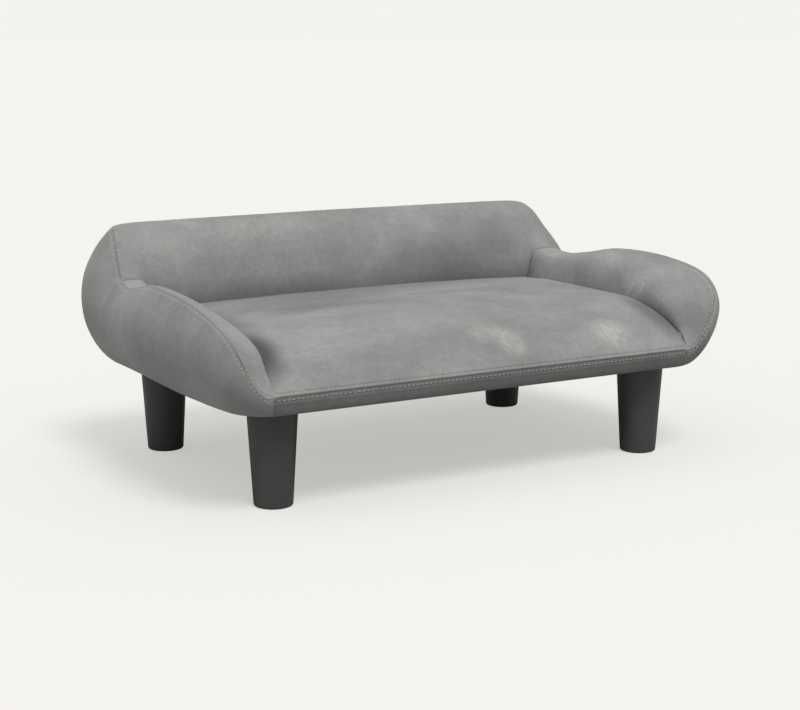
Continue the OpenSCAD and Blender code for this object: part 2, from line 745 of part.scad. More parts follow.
function back_ring(i) =
    let (line = [for (j = [n_in - 1 : -1 : 0]) j < n_in - i ? arm_pad[n_arm][j] : back_pad[i][0]])
    concat(
        [base_corner(first_wing + i)], outside_run(first_wing + i),
        [for (j = [n_in - 1 : -1 : 0]) back_pad[i][j]], line, [on_floor(end_of(line))]
    );
rim_rings = concat([for (k = [1 : n_arm]) arm_ring(k)], [for (i = [1 : n_in + n_top]) back_ring(i)]);
module right_arm_foam() {
    color(foam)
        centred()
            difference() {
                intersection() {
                    loft(part_of(rim_rings, 0, n_arm + n_in - 1));
                    translate([0, -edge_d, edge_z])
                        cube([edge_w, edge_d + arm_d - soft_gap / 2, back_h]);
                }
                frame_room();
            }
}
module left_arm_foam() {
    mirror([1, 0, 0])
        right_arm_foam();
}
module back_foam() {
    color(foam)
        centred()
            difference() {
                intersection() {
                    loft(turned(whole(turned(part_of(rim_rings, n_arm - n_in, len(rim_rings) - 1)))));
                    translate([-edge_w, arm_d + soft_gap / 2, edge_z])
                        cube([2 * edge_w, edge_d, back_h]);
                }
                frame_room();
            }
}

// Covers
outside_back = outside_in(cover_t);
seat_back = seat_in(cover_t);
arm_back = arm_in(cover_t);
back_back = back_in(cover_t);
wrap_column = first_top + n_wrap;
module seat_cover() {
    color(velvet)
        centred()
            sheet(whole(seat), whole(seat_back));
}
module back_inner_cover() {
    color(velvet_back)
        centred()
            sheet(whole(turned(back)), whole(turned(back_back)), true, true);
}
module right_arm_inner_cover() {
    color(velvet)
        centred()
            sheet(turned(arm), turned(arm_back), false, true);
}
module left_arm_inner_cover() {
    mirror([1, 0, 0])
        right_arm_inner_cover();
}
module front_band() {
    color(velvet_side)
        centred()
            sheet(whole(part_of(outside, 0, first_arm)), whole(part_of(outside_back, 0, first_arm)));
}
module right_side_cover() {
    color(velvet_side)
        centred()
            sheet(part_of(outside, first_arm, wrap_column), part_of(outside_back, first_arm, wrap_column));
}
module left_side_cover() {
    mirror([1, 0, 0])
        right_side_cover();
}
module rear_cover() {
    color(velvet_side)
        centred()
            sheet(turned(whole(turned(part_of(outside, wrap_column, last_column)))),
                turned(whole(turned(part_of(outside_back, wrap_column, last_column)))));
}

// Dust cover and the staples that hold it and the turned-in cover to the base board
module dust_cover() {
    color(cloth_black)
        centred()
            difference() {
                translate([0, 0, leg_h])
                    linear_extrude(dust_t)
                        plate(turn_in * dust_edge_share);
                for (x = [-leg_side, leg_side], y = [leg_y, rear_leg_y])
                    translate([x, y, 0])
                        cylinder(r = stud_r + stud_fit, h = edge_z);
            }
}
module staple() {
    translate([-staple_w / 2, -staple_wire / 2, leg_h - staple_wire])
        cube([staple_w, staple_wire, staple_wire]);
    for (x = [-staple_w / 2, staple_w / 2 - staple_wire])
        translate([x, -staple_wire / 2, leg_h - staple_wire])
            cube([staple_wire, staple_wire, staple_leg]);
}
module edge_staples() {
    line = edge_line(turn_in * staple_share);
    d = runs(line);
    count = floor(end_of(d) / staple_step);
    color(steel)
        centred()
            both_sides()
                for (k = [0 : count - 1])
                    let (s = end_of(d) * (k + 1 / 2) / count, p = place(line, d, s),
                        t = place(line, d, s + staple_wire) - place(line, d, s - staple_wire))
                    translate([p[0], p[1], 0])
                        rotate([0, 0, atan2(t[1], t[0])])
                            staple();
}

front_left_leg();
front_right_leg();
rear_left_leg();
rear_right_leg();
front_left_stud();
front_right_stud();
rear_left_stud();
rear_right_stud();
front_left_tee_nut();
front_right_tee_nut();
rear_left_tee_nut();
rear_right_tee_nut();
base_board();
back_board();
left_arm_board();
right_arm_board();
left_corner_post();
right_corner_post();
base_screws();
post_screws();
seat_foam();
left_arm_foam();
right_arm_foam();
back_foam();
seat_cover();
back_inner_cover();
left_arm_inner_cover();
right_arm_inner_cover();
front_band();
left_side_cover();
right_side_cover();
rear_cover();
dust_cover();
edge_staples();
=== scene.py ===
import math

import bmesh
import bpy
import numpy as np
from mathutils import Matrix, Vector, noise


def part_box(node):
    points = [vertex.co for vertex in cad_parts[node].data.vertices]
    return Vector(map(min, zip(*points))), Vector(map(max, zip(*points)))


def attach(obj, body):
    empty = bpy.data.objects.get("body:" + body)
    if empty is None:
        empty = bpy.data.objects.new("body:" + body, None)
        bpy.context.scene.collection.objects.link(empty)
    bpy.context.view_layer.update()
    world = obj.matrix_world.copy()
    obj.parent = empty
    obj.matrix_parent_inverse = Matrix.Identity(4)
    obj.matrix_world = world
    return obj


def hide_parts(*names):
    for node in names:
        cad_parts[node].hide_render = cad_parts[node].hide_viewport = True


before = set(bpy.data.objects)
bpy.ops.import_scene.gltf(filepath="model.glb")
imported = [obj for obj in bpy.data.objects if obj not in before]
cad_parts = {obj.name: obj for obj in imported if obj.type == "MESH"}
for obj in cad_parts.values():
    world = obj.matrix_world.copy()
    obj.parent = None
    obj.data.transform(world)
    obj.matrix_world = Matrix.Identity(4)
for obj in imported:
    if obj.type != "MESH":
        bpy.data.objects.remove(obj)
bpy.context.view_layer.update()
MM = 0.001


# Sizes of the upholstery in millimetres. What the frame gives is read from it
def node_box(name):
    low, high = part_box(name)
    return np.array(low) / MM, np.array(high) / MM


seat_low, seat_high = node_box("seat_cover")
FRONT_Y = seat_low[1]
SEAT_W = seat_high[0] - seat_low[0]
SEAT_D = seat_high[1] - seat_low[1]
LEG_H = node_box("front_left_leg")[1][2]
EDGE_Z = LEG_H + 0.8
SEAT_TAPER = 16.0
BAND_H = 20.7
SEAM_Z = EDGE_Z + BAND_H
SEAT_RISE = 53.0
SEAT_CROWN = 7.0
SEAT_DIP = 4.0
ROLL_D = 135.0
ARM_OUT = 57.0
ARM_D = 331.0
ARM_H = 99.0
CREST_W = 604.0
CREST_D = 404.0
CREST_Z = EDGE_Z + 167.7
CREST_CORNER_D = 19.5
CREST_CORNER_DROP = 6.0
CREST_ROLL = 46.0
EDGE_W = 602.0
EDGE_D = 418.5
EDGE_SET = 6.0
EDGE_FRONT_R = 39.0
EDGE_REAR_R = 73.0
TURN_IN = 18.0

# Shapes of the seams and covers as shares of the sizes that they follow
ARM_SEAM_SHARES = [
    (0, 0, 0), (0.14, 0, 0.02), (0.33, 0, 0.115), (0.54, 0, 0.31), (0.72, 0.003, 0.525),
    (0.86, 0.033, 0.717), (0.965, 0.112, 0.86), (1, 0.236, 0.95), (1, 0.43, 1),
    (0.947, 0.63, 0.98), (0.84, 0.78, 0.885), (0.77, 0.9, 0.825), (0.67, 1, 0.865),
]
WING_SEAM_SHARES = [(0, 0, 0), (0.33, 0.42, 0.49), (0.67, 0.71, 0.83), (1, 1, 1)]
TOP_SEAM_SHARES = [
    (1, 1, 1), (0.98, 0.58, 0.42), (0.927, 0.21, 0.25), (0.795, 0.05, 0.17), (0.4, 0, 0.08), (0, 0, 0),
]
LOW_BULGE_SHARES = [0.23, 0.23, 0.385, 0.385, 0.235, 0.3, 0.3]
HIGH_BULGE_SHARES = [0.07, 0.13, 0.35, 0.42, 0.55, 0.36, 0.36]
SEAM_DROP_SHARES = [0.38, 0.38, 0.38, 0.37, 0.3, 0.34, 0.34]
FULL_SIDE_SHARE = 0.3
FULL_REAR_SHARE = 0.2
ARM_FOOT_SHARE = 0.949
CORNER_FOOT_ANGLE = math.radians(57)
ARM_LEAN_SHARES = (-0.76, 0.09, 0.21)
NOSE_SHARE = 0.22
ARM_RISE_SHARES = (0.42, 0.43, 0.63)
ARM_OVER_SHARES = (0.1, 0.34, 0.63)
ARM_FLAT_SHARES = (-0.44, -0.14, 0.05)
BAND_END_SHARE = 0.19
BACK_RISE_SHARE = 0.42
BACK_FORWARD_SHARE = 0.065
CREST_LIFT_SHARE = 0.04
ROLL_POWER = 0.63
CROWN_RUN_SHARE = 0.405
DIP_START_SHARE = 0.74
CROWN_FADE_SHARE = 0.45
CROWN_POWER = 3
ROW_POWER = 1.35
WRAP_SHARE = 0.3

# Valleys in which the seat meets the arms and the back: the edge of the seat rolls down into them
TUCK_IN, TUCK_OUT, TUCK_DEPTH = 8.0, 9.0, 15.0
TUCK_START, TUCK_REACH = 8.0, 45.0
# Along the top seam, where the column over the corner of the seat ends
HEAD_CORNER = 40.0
# How far in from the sloped end of the back its shape is felt
WING_REACH = 75.0
# Share of the height over which the foot of the back is pulled to the seat
FOOT_PULL_SHARE = 0.25
# Distance along the lower edge over which its shapes are eased, in this many steps, and the distance over
# which its direction is taken
EASE_REACH, EASE_STEPS = 22, 9
EDGE_REACH = EDGE_FRONT_R / 3

# Strips of the sheets: along the front half, the arm, the end of the back, half the top, the rear end of
# the arm, and the seat before its fine strips
N_FRONT, N_ARM, N_WING, N_TOP, N_DOME, N_SEAT = 104, 170, 44, 116, 26, 86
# Rows of the sheets between their fine rows, and points of the curves that they are laid along
OUTSIDE_ROWS, SEAT_ROWS, ARM_ROWS, BACK_ROWS = 30, 80, 26, 30
OUTSIDE_POINTS, SEAT_POINTS, ARM_POINTS, BACK_POINTS, EVEN_POINTS = 90, 700, 120, 240, 161
# Distances of the fine rows from a stitched seam, a plain valley, the side valley and the lower edge, then
# shares of the strip that is turned in under the base, and the fine row that is stitched
NEAR_SEAM = np.array([0, 0.45, 0.9, 1.4, 2.0, 2.7, 3.4, 4.0, 4.6, 5.4, 6.4, 7.8, 9.6, 12.0])
NEAR_VALLEY = np.array([0, 0.9, 2.0, 3.3, 4.8, 6.5, 8.6, 11.0, 14.0, 17.5, 21.5, 26.0])
NEAR_SIDE = np.array([0, 0.15, 0.6, 1.3, 2.3, 3.6, 5.2, 7.2, 9.7, 12.5, 16.0, 20.0])
NEAR_EDGE = np.array([0, 1.5, 3.5])
UNDER_SHARES = np.array([0.12, 0.35, 0.65, 1.0])
STITCH_ROW = 7


# Curves and sheets
def smooth_line(points, per_span=24):
    """A smooth curve through points."""
    p = np.array(points, float)
    q = np.vstack([2 * p[0] - p[1], p, 2 * p[-1] - p[-2]])
    t = (np.arange(per_span) / per_span)[:, None]
    spans = []
    for a, b, c, d in zip(q, q[1:], q[2:], q[3:]):
        spans.append(0.5 * (2 * b + (c - a) * t + (2 * a - 5 * b + 4 * c - d) * t**2
                            + (3 * b - a - 3 * c + d) * t**3))
    return np.vstack(spans + [p[-1:]])


def runs(line):
    return np.r_[0, np.cumsum(np.linalg.norm(np.diff(line, axis=0), axis=1))]


def place(line, run, s):
    """Points of a line at distances s along it, from the distances of its own points."""
    return np.stack([np.interp(s, run, line[:, k]) for k in range(line.shape[1])], -1)


def at_shares(line, shares):
    run = runs(line)
    return place(line, run, run[-1] * shares)


def bezier(a, b, c, d, t):
    return (1 - t)**3 * a + 3 * (1 - t)**2 * t * b + 3 * (1 - t) * t * t * c + t**3 * d


def unit(v):
    return v / np.maximum(np.linalg.norm(v, axis=-1, keepdims=True), 1e-9)


def ease(t):
    t = np.clip(t, 0, 1)
    return t * t * (3 - 2 * t)


def resampled(columns, near, far, middle_rows):
    """Columns of dense points, laid again in rows that are finer near either end. Also each point's
    distances from both ends."""
    last = max(near[-1], 0) + max(far[-1], 0)
    out, first, rest = [], [], []
    for c in columns:
        run = runs(c)
        size = min(1, run[-1] / (2 * last)) if last else 1
        mid = np.linspace(near[-1] * size, run[-1] - far[-1] * size, middle_rows + 2)[1:-1]
        d = np.r_[near * size, mid, run[-1] - far[::-1] * size]
        out.append(place(c, run, d))
        first.append(d)
        rest.append(run[-1] - d)
    return np.array(out), np.array(first), np.array(rest)


def normals(grid, way):
    """Normals of a grid, turned so that on average they look the given way."""
    n = np.cross(np.gradient(grid, axis=0), np.gradient(grid, axis=1))
    size = np.linalg.norm(n, axis=-1, keepdims=True)
    n = n / np.maximum(size, 1e-12)
    for column, beside in ((0, 1), (-1, -2)):
        if size[column].max() < 1e-3:
            n[column] = n[beside]
    return n if (n * np.array(way, float)).sum(-1).mean() > 0 else -n


# Seams of the right half, y from the front seam back
share_front = np.linspace(0, 1, N_FRONT + 1)
share_arm = np.linspace(0, 1, N_ARM + 1)
share_wing = np.linspace(0, 1, N_WING + 1)
share_top = np.linspace(0, 1, N_TOP + 1)
arm_line = smooth_line([
    (SEAT_W / 2 + ARM_OUT * s[0], ARM_D * s[1], SEAM_Z + ARM_H * s[2]) for s in ARM_SEAM_SHARES
])
corner = np.array([CREST_W / 2, CREST_D - CREST_CORNER_D, CREST_Z - CREST_CORNER_DROP])
wing_line = smooth_line([arm_line[-1] + (corner - arm_line[-1]) * s for s in WING_SEAM_SHARES])
top_line = smooth_line([
    (CREST_W / 2 * s[0], CREST_D - CREST_CORNER_D * s[1], CREST_Z - CREST_CORNER_DROP * s[2])
    for s in TOP_SEAM_SHARES
])
front_seam = np.stack([SEAT_W / 2 * share_front, 0 * share_front, 0 * share_front + SEAM_Z], -1)
arm_seam = at_shares(arm_line, share_arm)
wing_seam = at_shares(wing_line, share_wing)
top_seam = at_shares(top_line, share_top)
rim = np.vstack([front_seam, arm_seam[1:], wing_seam[1:], top_seam[1:]])
FIRST_ARM = N_FRONT
FIRST_WING = FIRST_ARM + N_ARM
FIRST_TOP = FIRST_WING + N_WING
WRAP = FIRST_TOP + round(N_TOP * WRAP_SHARE)


def arc(x, y, r, start, count=40):
    """A quarter of a circle."""
    a = start + np.linspace(0, math.pi / 2, count + 1)
    return np.stack([x + r * np.cos(a), y + r * np.sin(a)], -1)


rear_centre_y = EDGE_SET + EDGE_D - EDGE_REAR_R
edge = np.vstack([
    [[0, EDGE_SET]],
    arc(EDGE_W / 2 - EDGE_FRONT_R, EDGE_SET + EDGE_FRONT_R, EDGE_FRONT_R, -math.pi / 2),
    arc(EDGE_W / 2 - EDGE_REAR_R, rear_centre_y, EDGE_REAR_R, 0),
    [[0, EDGE_SET + EDGE_D]],
])
edge_runs = runs(edge)
run_front = EDGE_W / 2 - EDGE_FRONT_R
run_band = run_front + EDGE_FRONT_R * math.pi / 2 * BAND_END_SHARE
run_corner = run_front + EDGE_FRONT_R * math.pi / 2
run_arm = run_corner + ARM_D * ARM_FOOT_SHARE - EDGE_SET - EDGE_FRONT_R
run_wing = run_corner + rear_centre_y - EDGE_SET - EDGE_FRONT_R + EDGE_REAR_R * CORNER_FOOT_ANGLE
bulge_runs = [
    0, run_front, run_corner, run_corner + ARM_D * FULL_SIDE_SHARE,
    run_wing, run_wing + CREST_W / 2 * FULL_REAR_SHARE, edge_runs[-1],
]
column_run = np.r_[
    (run_band * share_front)[:-1],
    (run_band + (run_arm - run_band) * share_arm)[:-1],
    (run_arm + (run_wing - run_arm) * share_wing)[:-1],
    run_wing + (edge_runs[-1] - run_wing) * share_top,
]


def by_run(shares):
    """Shares along the lower edge, eased over so that no crease shows where one stretch ends."""
    steps = np.linspace(-EASE_REACH, EASE_REACH, EASE_STEPS)
    return np.mean([np.interp(column_run + s, bulge_runs, shares) for s in steps], axis=0)[:, None]


def outside_sheet():
    """Outside of the band, the sides and the rear: a bulge from the lower edge up to the rim, and the
    strip that is turned in under the base."""
    foot = np.c_[place(edge, edge_runs, column_run), 0 * column_run + EDGE_Z]
    ahead = place(edge, edge_runs, np.minimum(edge_runs[-1], column_run + EDGE_REACH))
    behind = place(edge, edge_runs, np.maximum(0, column_run - EDGE_REACH))
    t = unit(ahead - behind)
    out = np.c_[t[:, 1], -t[:, 0], 0 * column_run]
    h = (rim[:, 2] - EDGE_Z)[:, None]
    low = foot + out * h * by_run(LOW_BULGE_SHARES)
    high = rim + out * h * by_run(HIGH_BULGE_SHARES) - np.array([0, 0, 1]) * h * by_run(SEAM_DROP_SHARES)
    steps = np.linspace(1, 0, OUTSIDE_POINTS)
    body = np.array([[bezier(f, a, b, r, s) for s in steps] for f, a, b, r in zip(foot, low, high, rim)])
    grid, near, _ = resampled(body, NEAR_SEAM, NEAR_EDGE, OUTSIDE_ROWS)
    under = foot[:, None] - out[:, None] * (TURN_IN * UNDER_SHARES)[None, :, None]
    under_d = near[:, -1:] + TURN_IN * UNDER_SHARES
    return np.concatenate([grid, under], 1), np.concatenate([near, under_d], 1)


def seat_top(side, y):
    """Height of the seat: the rolled front, the crown, and the dip towards the back."""
    q = np.clip(y / ROLL_D, 0, 1)
    back = np.clip((y / SEAT_D - DIP_START_SHARE) / (1 - DIP_START_SHARE), 0, 1)
    on = np.clip(y / (SEAT_D * CROWN_RUN_SHARE), 0, 1)
    return (SEAM_Z + SEAT_RISE * (1 - (1 - q)**2)**ROLL_POWER - SEAT_DIP * back**2
            + SEAT_CROWN * (1 - abs(side)**CROWN_POWER) * on * (2 - on) * (1 - CROWN_FADE_SHARE * back))


def seat_half(y):
    return (SEAT_W - SEAT_TAPER * y / SEAT_D) / 2


side_y = np.linspace(0, SEAT_D, 600)
side_run = runs(np.stack([seat_half(side_y), side_y, seat_top(1, side_y)], -1))


def tuck(y):
    """How far the side valley has reached its depth. It grows from the front seam back."""
    return ease((np.interp(y, side_y, side_run) - TUCK_START) / TUCK_REACH)


def roll_off(beyond, width, depth):
    """Drop of an edge that rolls down as a quarter of an ellipse."""
    t = np.clip(beyond / width, 0, 1)
    return depth * (1 - np.sqrt(1 - t * t))


def seat_point(side, along_y):
    """A point of the seat by its shares of the half width and of the depth, down into the valleys."""
    y = along_y * (SEAT_D + TUCK_OUT)
    flat_y = np.minimum(y, SEAT_D)
    half = seat_half(flat_y)
    f = tuck(flat_y)
    x = side * (half + TUCK_OUT * f)
    at_side = roll_off(x - half + TUCK_IN, TUCK_IN + TUCK_OUT * f, TUCK_DEPTH * f)
    at_back = roll_off(y - SEAT_D + TUCK_IN, TUCK_IN + TUCK_OUT, TUCK_DEPTH)
    z = seat_top(np.minimum(1, x / half), flat_y) - (at_side**4 + at_back**4)**0.25
    return np.stack([x, y + 0 * x, z], -1)


def seat_sheet():
    last = NEAR_SIDE[-1] / (SEAT_W / 2)
    sides = np.r_[np.linspace(0, 1 - last, N_SEAT), 1 - NEAR_SIDE[-2::-1] / (SEAT_W / 2)]
    depth = (1 - np.cos(np.pi * np.linspace(0, 1, SEAT_POINTS))) / 2
    dense = np.array([seat_point(s, depth) for s in sides])
    grid, near, far = resampled(dense, NEAR_SEAM, NEAR_VALLEY, SEAT_ROWS)
    return grid, near, far, sides


def bent(three, t):
    """A smooth change through a first, a middle and a last value."""
    return three[0] * (1 - t) * (1 - 2 * t) + 4 * three[1] * t * (1 - t) + three[2] * t * (2 * t - 1)


def arm_sheet():
    """Inside of the right arm, from its valley with the seat up and over to the rim."""
    depth = share_arm**ROW_POWER
    y = SEAT_D * depth
    top = np.stack([seat_half(y), y, seat_top(1, y)], -1)
    foot = seat_point(1, depth)
    w = np.linalg.norm(arm_seam - top, axis=1)[:, None]
    t = share_arm[:, None]
    lean = bent(ARM_LEAN_SHARES, t) * ease(t / NOSE_SHARE)
    low = top + w * np.hstack([lean, 0 * t, bent(ARM_RISE_SHARES, t)])
    high = arm_seam + w * np.hstack([-bent(ARM_OVER_SHARES, t), 0 * t, bent(ARM_FLAT_SHARES, t)])
    steps = np.linspace(1, 0, ARM_POINTS)
    ends = zip(foot, low, high, arm_seam)
    dense = np.array([[bezier(p, q, r, s, k) for k in steps] for p, q, r, s in ends])
    grid, near, far = resampled(dense, NEAR_SEAM, NEAR_VALLEY, ARM_ROWS)
    return grid, near, far, dense[-1]


def even(line):
    return at_shares(line, np.linspace(0, 1, EVEN_POINTS))


def back_sheet(dome):
    """Inside of the back from its sloped end to the middle. Its feet follow the end of the arm down to
    the seat and then the seat; its heads follow the top seam."""
    dome_run = runs(dome)
    last = dome_run[-1]
    fine = NEAR_SEAM[-1]
    at_dome = np.r_[NEAR_SEAM, np.linspace(fine, last, N_DOME + 1)[1:]]
    beyond = np.maximum(0, at_dome - fine)
    at_head = np.minimum(at_dome, fine) + beyond * (HEAD_CORNER - fine) / (last - fine)
    feet = np.vstack([place(dome, dome_run, at_dome), seat_point(1 - share_top[1:], 1)])
    top_run = runs(top_line)
    at_head = np.r_[at_head, HEAD_CORNER + (top_run[-1] - HEAD_CORNER) * share_top[1:]]
    heads = place(top_line, top_run, at_head)
    v = np.linspace(0, 1, BACK_POINTS)
    pull = np.clip(1 - v / FOOT_PULL_SHARE, 0, 1)**3
    columns = []
    for foot, head in zip(feet, heads):
        start = np.array([SEAT_D, seat_top(min(1, foot[0] / seat_half(SEAT_D)), SEAT_D)])
        h = head[2] - start[1]
        roll = CREST_ROLL * (head[1] - SEAT_D) / (CREST_D - SEAT_D)
        low = start + h * np.array([-BACK_FORWARD_SHARE, BACK_RISE_SHARE])
        high = head[1:] + np.array([-roll, h * CREST_LIFT_SHARE])
        profile = np.array([bezier(start, low, high, head[1:], k) for k in v])
        first = v[np.argmax(profile[:, 1] > foot[2])] if foot[2] > start[1] else 0
        s = first + (1 - first) * v
        profile = np.array([bezier(start, low, high, head[1:], k) for k in s])
        side = foot[0] + (head[0] - foot[0]) * v
        columns.append(even(np.c_[side, profile + pull[:, None] * (foot[1:] - profile[0])]))
    columns = np.array(columns)
    lean = even(wing_line) - columns[0]
    felt = np.clip(1 - at_dome / WING_REACH, 0, 1)**2
    columns[:len(at_dome)] += felt[:, None, None] * lean
    grid, near, far = resampled(columns[:, ::-1], NEAR_SEAM, NEAR_VALLEY, BACK_ROWS)
    return grid, near, far, at_dome, at_head


outside, outside_near = outside_sheet()
seat, seat_near, seat_far, seat_sides = seat_sheet()
arm, arm_near, arm_far, dome = arm_sheet()
back, back_near, back_far, at_dome, at_head = back_sheet(dome)
outside_n = normals(outside, (1, 0, 0))
seat_n = normals(seat, (0, 0, 1))
arm_n = normals(arm, (-0.3, 0, 1))
back_n = normals(back, (0, -1, 0.3))


def along(line_at, values, at):
    """Ways that are known at some places along a line, read at other places."""
    order = np.argsort(line_at)
    return np.stack([np.interp(at, line_at[order], values[order, k]) for k in range(3)], -1)


def rolled(v, count=4):
    """Ways along a line, each the mean of its neighbours."""
    padded = np.vstack([v[:1]] * count + [v] + [v[-1:]] * count)
    return unit(np.mean([padded[k:k + len(v)] for k in range(2 * count + 1)], axis=0))


# Ways straight out of the seams, between the two sheets that meet there
DOME = len(at_dome) - 1
wing_length = runs(wing_line)[-1]
top_length = runs(top_line)[-1]
wing_rows = wing_length - back_near[0]
inner_n = np.vstack([
    along(seat_sides, seat_n[:, 0], share_front)[:-1],
    arm_n[:-1, 0],
    along(wing_rows, back_n[0], share_wing * wing_length)[:-1],
    along(at_head, back_n[:, 0], share_top * top_length),
])
rim_way = rolled(unit(outside_n[:, 0] + inner_n))
wing_way = along(share_wing * wing_length, rim_way[FIRST_WING:FIRST_TOP + 1], wing_rows)
head_way = along(share_top * top_length, rim_way[FIRST_TOP:], at_head)
side_valley_seat = unit(seat_n[-1] + along(arm[:, -1, 1], arm_n[:, -1], seat[-1, :, 1]))
side_valley_arm = unit(arm_n[:, -1] + along(seat[-1, :, 1], seat_n[-1], arm[:, -1, 1]))
back_valley_seat = unit(seat_n[:, -1] + along(back[DOME:, -1, 0], back_n[DOME:, -1], seat[:, -1, 0]))
back_valley_back = unit(back_n[DOME:, -1] + along(seat[:, -1, 0], seat_n[:, -1], back[DOME:, -1, 0]))
arm_end_arm = unit(arm_n[-1] + along(at_dome, back_n[:DOME + 1, -1], arm_near[-1]))
arm_end_back = unit(back_n[:DOME + 1, -1] + along(arm_near[-1], arm_n[-1], at_dome))


# Relief of the seams in millimetres: how far the cloth sinks there, and over which distance
SEAM_DEPTH, SEAM_REACH = 1.3, 0.8
STITCH_D, STITCH_DEPTH, STITCH_REACH = 4.0, 0.6, 0.8
PLAIN_DEPTH, PLAIN_REACH = 1.3, 1.5
CREASE_DEPTH, CREASE_REACH = 1.6, 2.6
# Puffed cloth between the seam and its stitches, and beyond the stitches: distance, height and reach
SEAM_PUFF_D, SEAM_PUFF, SEAM_PUFF_REACH = 2.2, 0.35, 1.1
STITCH_PUFF_D, STITCH_PUFF, STITCH_PUFF_REACH = 6.6, 0.45, 2.0
# Distances from a corner, from the end of another seam and from the front at which relief comes in
CORNER_REACH, END_REACH, FRONT_REACH = 3.2, 3.0, 5.0
# The front stitches fade by this share at the side valleys, and the creases there run this far back
SIDE_SHARE, SIDE_REACH, CREASE_RUN = 0.6, 2.0, 40.0
# An arm narrower than this has less relief
NARROW_ARM = 16.0
# Heights above the lower edge over which relief and freedom grow, the relief from a small start
FOOT_FADE, FREE_FOOT, FOOT_START = 4.0, 12.0, 0.02
# Share of the arm's rear seam after which the groove at the foot of the back fades
FOOT_SEAM_SHARE = 0.8
# Distances from a seam over which a point's way turns and the point comes free
WAY_REACH, FREE_REACH = 3.0, 9.0


def hump(d, height, reach):
    return height * np.exp(-(d / reach)**2)


def groove(d, depth, reach):
    return -hump(d, depth, reach)


def away(d, reach):
    """Nothing on a line, one well away from it."""
    return 1 - hump(d, 1, reach)


def stitched(d):
    puff = hump(d - SEAM_PUFF_D, SEAM_PUFF, SEAM_PUFF_REACH)
    puff = puff + hump(d - STITCH_PUFF_D, STITCH_PUFF, STITCH_PUFF_REACH)
    return groove(d, SEAM_DEPTH, SEAM_REACH) + groove(d - STITCH_D, STITCH_DEPTH, STITCH_REACH) + puff


def blend(n, way, d):
    """Ways of a sheet, turned to those of its seam near the seam."""
    k = hump(d, 1, WAY_REACH)[..., None]
    return unit(n * (1 - k) + way * k)


def cross_runs(grid, back_to):
    """Distance along the rows from the column back_to."""
    steps = np.linalg.norm(np.diff(grid, axis=0), axis=-1)
    d = np.concatenate([0 * steps[:1], np.cumsum(steps, axis=0)])
    return abs(d - d[back_to])


class Sheet:
    """A grid of points, with the way that each looks, its relief and how freely it lies."""

    def __init__(self, points, way, relief, free):
        self.points, self.way, self.relief, self.free = points, way, relief, free

    def columns(self, a, b):
        return Sheet(self.points[a:b + 1], self.way[a:b + 1], self.relief[a:b + 1], self.free[a:b + 1])

    def mirrored(self):
        flip = np.array([-1, 1, 1])
        points, way = (self.points * flip)[::-1], (self.way * flip)[::-1]
        return Sheet(points, way, self.relief[::-1], self.free[::-1])

    def both(self, middle_first):
        """The whole sheet from its right half, whose middle is its first or its last column."""
        a, b = (self.mirrored(), self) if middle_first else (self, self.mirrored())
        return Sheet(*[np.concatenate([x, y[1:]]) for x, y in
                       ((a.points, b.points), (a.way, b.way), (a.relief, b.relief), (a.free, b.free))])


def free_of(*distances):
    """How freely a point lies: nothing on a seam, one well inside the sheet."""
    return math.prod(away(d, FREE_REACH) for d in distances)


def clear_of_corners(points):
    """Nothing at the corners where three covers meet, so that they stay closed, and one elsewhere."""
    spots = rim[FIRST_ARM], rim[FIRST_WING]
    return math.prod(away(np.linalg.norm(points - spot, axis=-1), CORNER_REACH) for spot in spots)


from_front_corner = cross_runs(outside, FIRST_ARM)
from_wrap = cross_runs(outside, WRAP)
above_edge = outside[..., 2] - EDGE_Z
outside_way = blend(outside_n, rim_way[:, None], outside_near)
outside_relief = (stitched(outside_near) + groove(from_front_corner, PLAIN_DEPTH / 2, PLAIN_REACH)
                  + groove(from_wrap, PLAIN_DEPTH, PLAIN_REACH))
outside_relief *= ease(above_edge / FOOT_FADE + FOOT_START) * clear_of_corners(outside)
outside_free = free_of(outside_near, from_front_corner, from_wrap) * ease(above_edge / FREE_FOOT)
OUTSIDE = Sheet(outside, outside_way, outside_relief, outside_free)

seat_side_d = cross_runs(seat, -1)
seat_way = blend(seat_n, along(share_front, rim_way[:N_FRONT + 1], seat_sides)[:, None], seat_near)
seat_way = blend(seat_way, back_valley_seat[:, None], seat_far)
seat_way = blend(seat_way, side_valley_seat[None], seat_side_d)
seat_crease = groove(seat_side_d, CREASE_DEPTH, CREASE_REACH) * (1 - ease(seat_near / CREASE_RUN))
seat_relief = stitched(seat_near) * (1 - hump(seat_side_d, SIDE_SHARE, SIDE_REACH))
seat_relief += seat_crease * away(seat_near, FRONT_REACH)
seat_relief *= clear_of_corners(seat)
SEAT = Sheet(seat, seat_way, seat_relief, free_of(seat_near, seat_far, seat_side_d))

arm_end_d = cross_runs(arm, -1)
arm_way = blend(arm_n, rim_way[FIRST_ARM:FIRST_WING + 1][:, None], arm_near)
arm_way = blend(arm_way, side_valley_arm[:, None], arm_far)
arm_way = blend(arm_way, arm_end_arm[None], arm_end_d)
crease_fade = 1 - ease(runs(arm[:, -1]) / CREASE_RUN)
arm_relief = stitched(arm_near) + groove(arm_end_d, PLAIN_DEPTH, PLAIN_REACH) * away(arm_near, END_REACH)
arm_relief += groove(arm_far, CREASE_DEPTH, CREASE_REACH) * crease_fade[:, None]
arm_relief *= np.clip((arm_near + arm_far) / NARROW_ARM, 0, 1) * clear_of_corners(arm)
ARM = Sheet(arm, arm_way, arm_relief, free_of(arm_near, arm_far, arm_end_d))

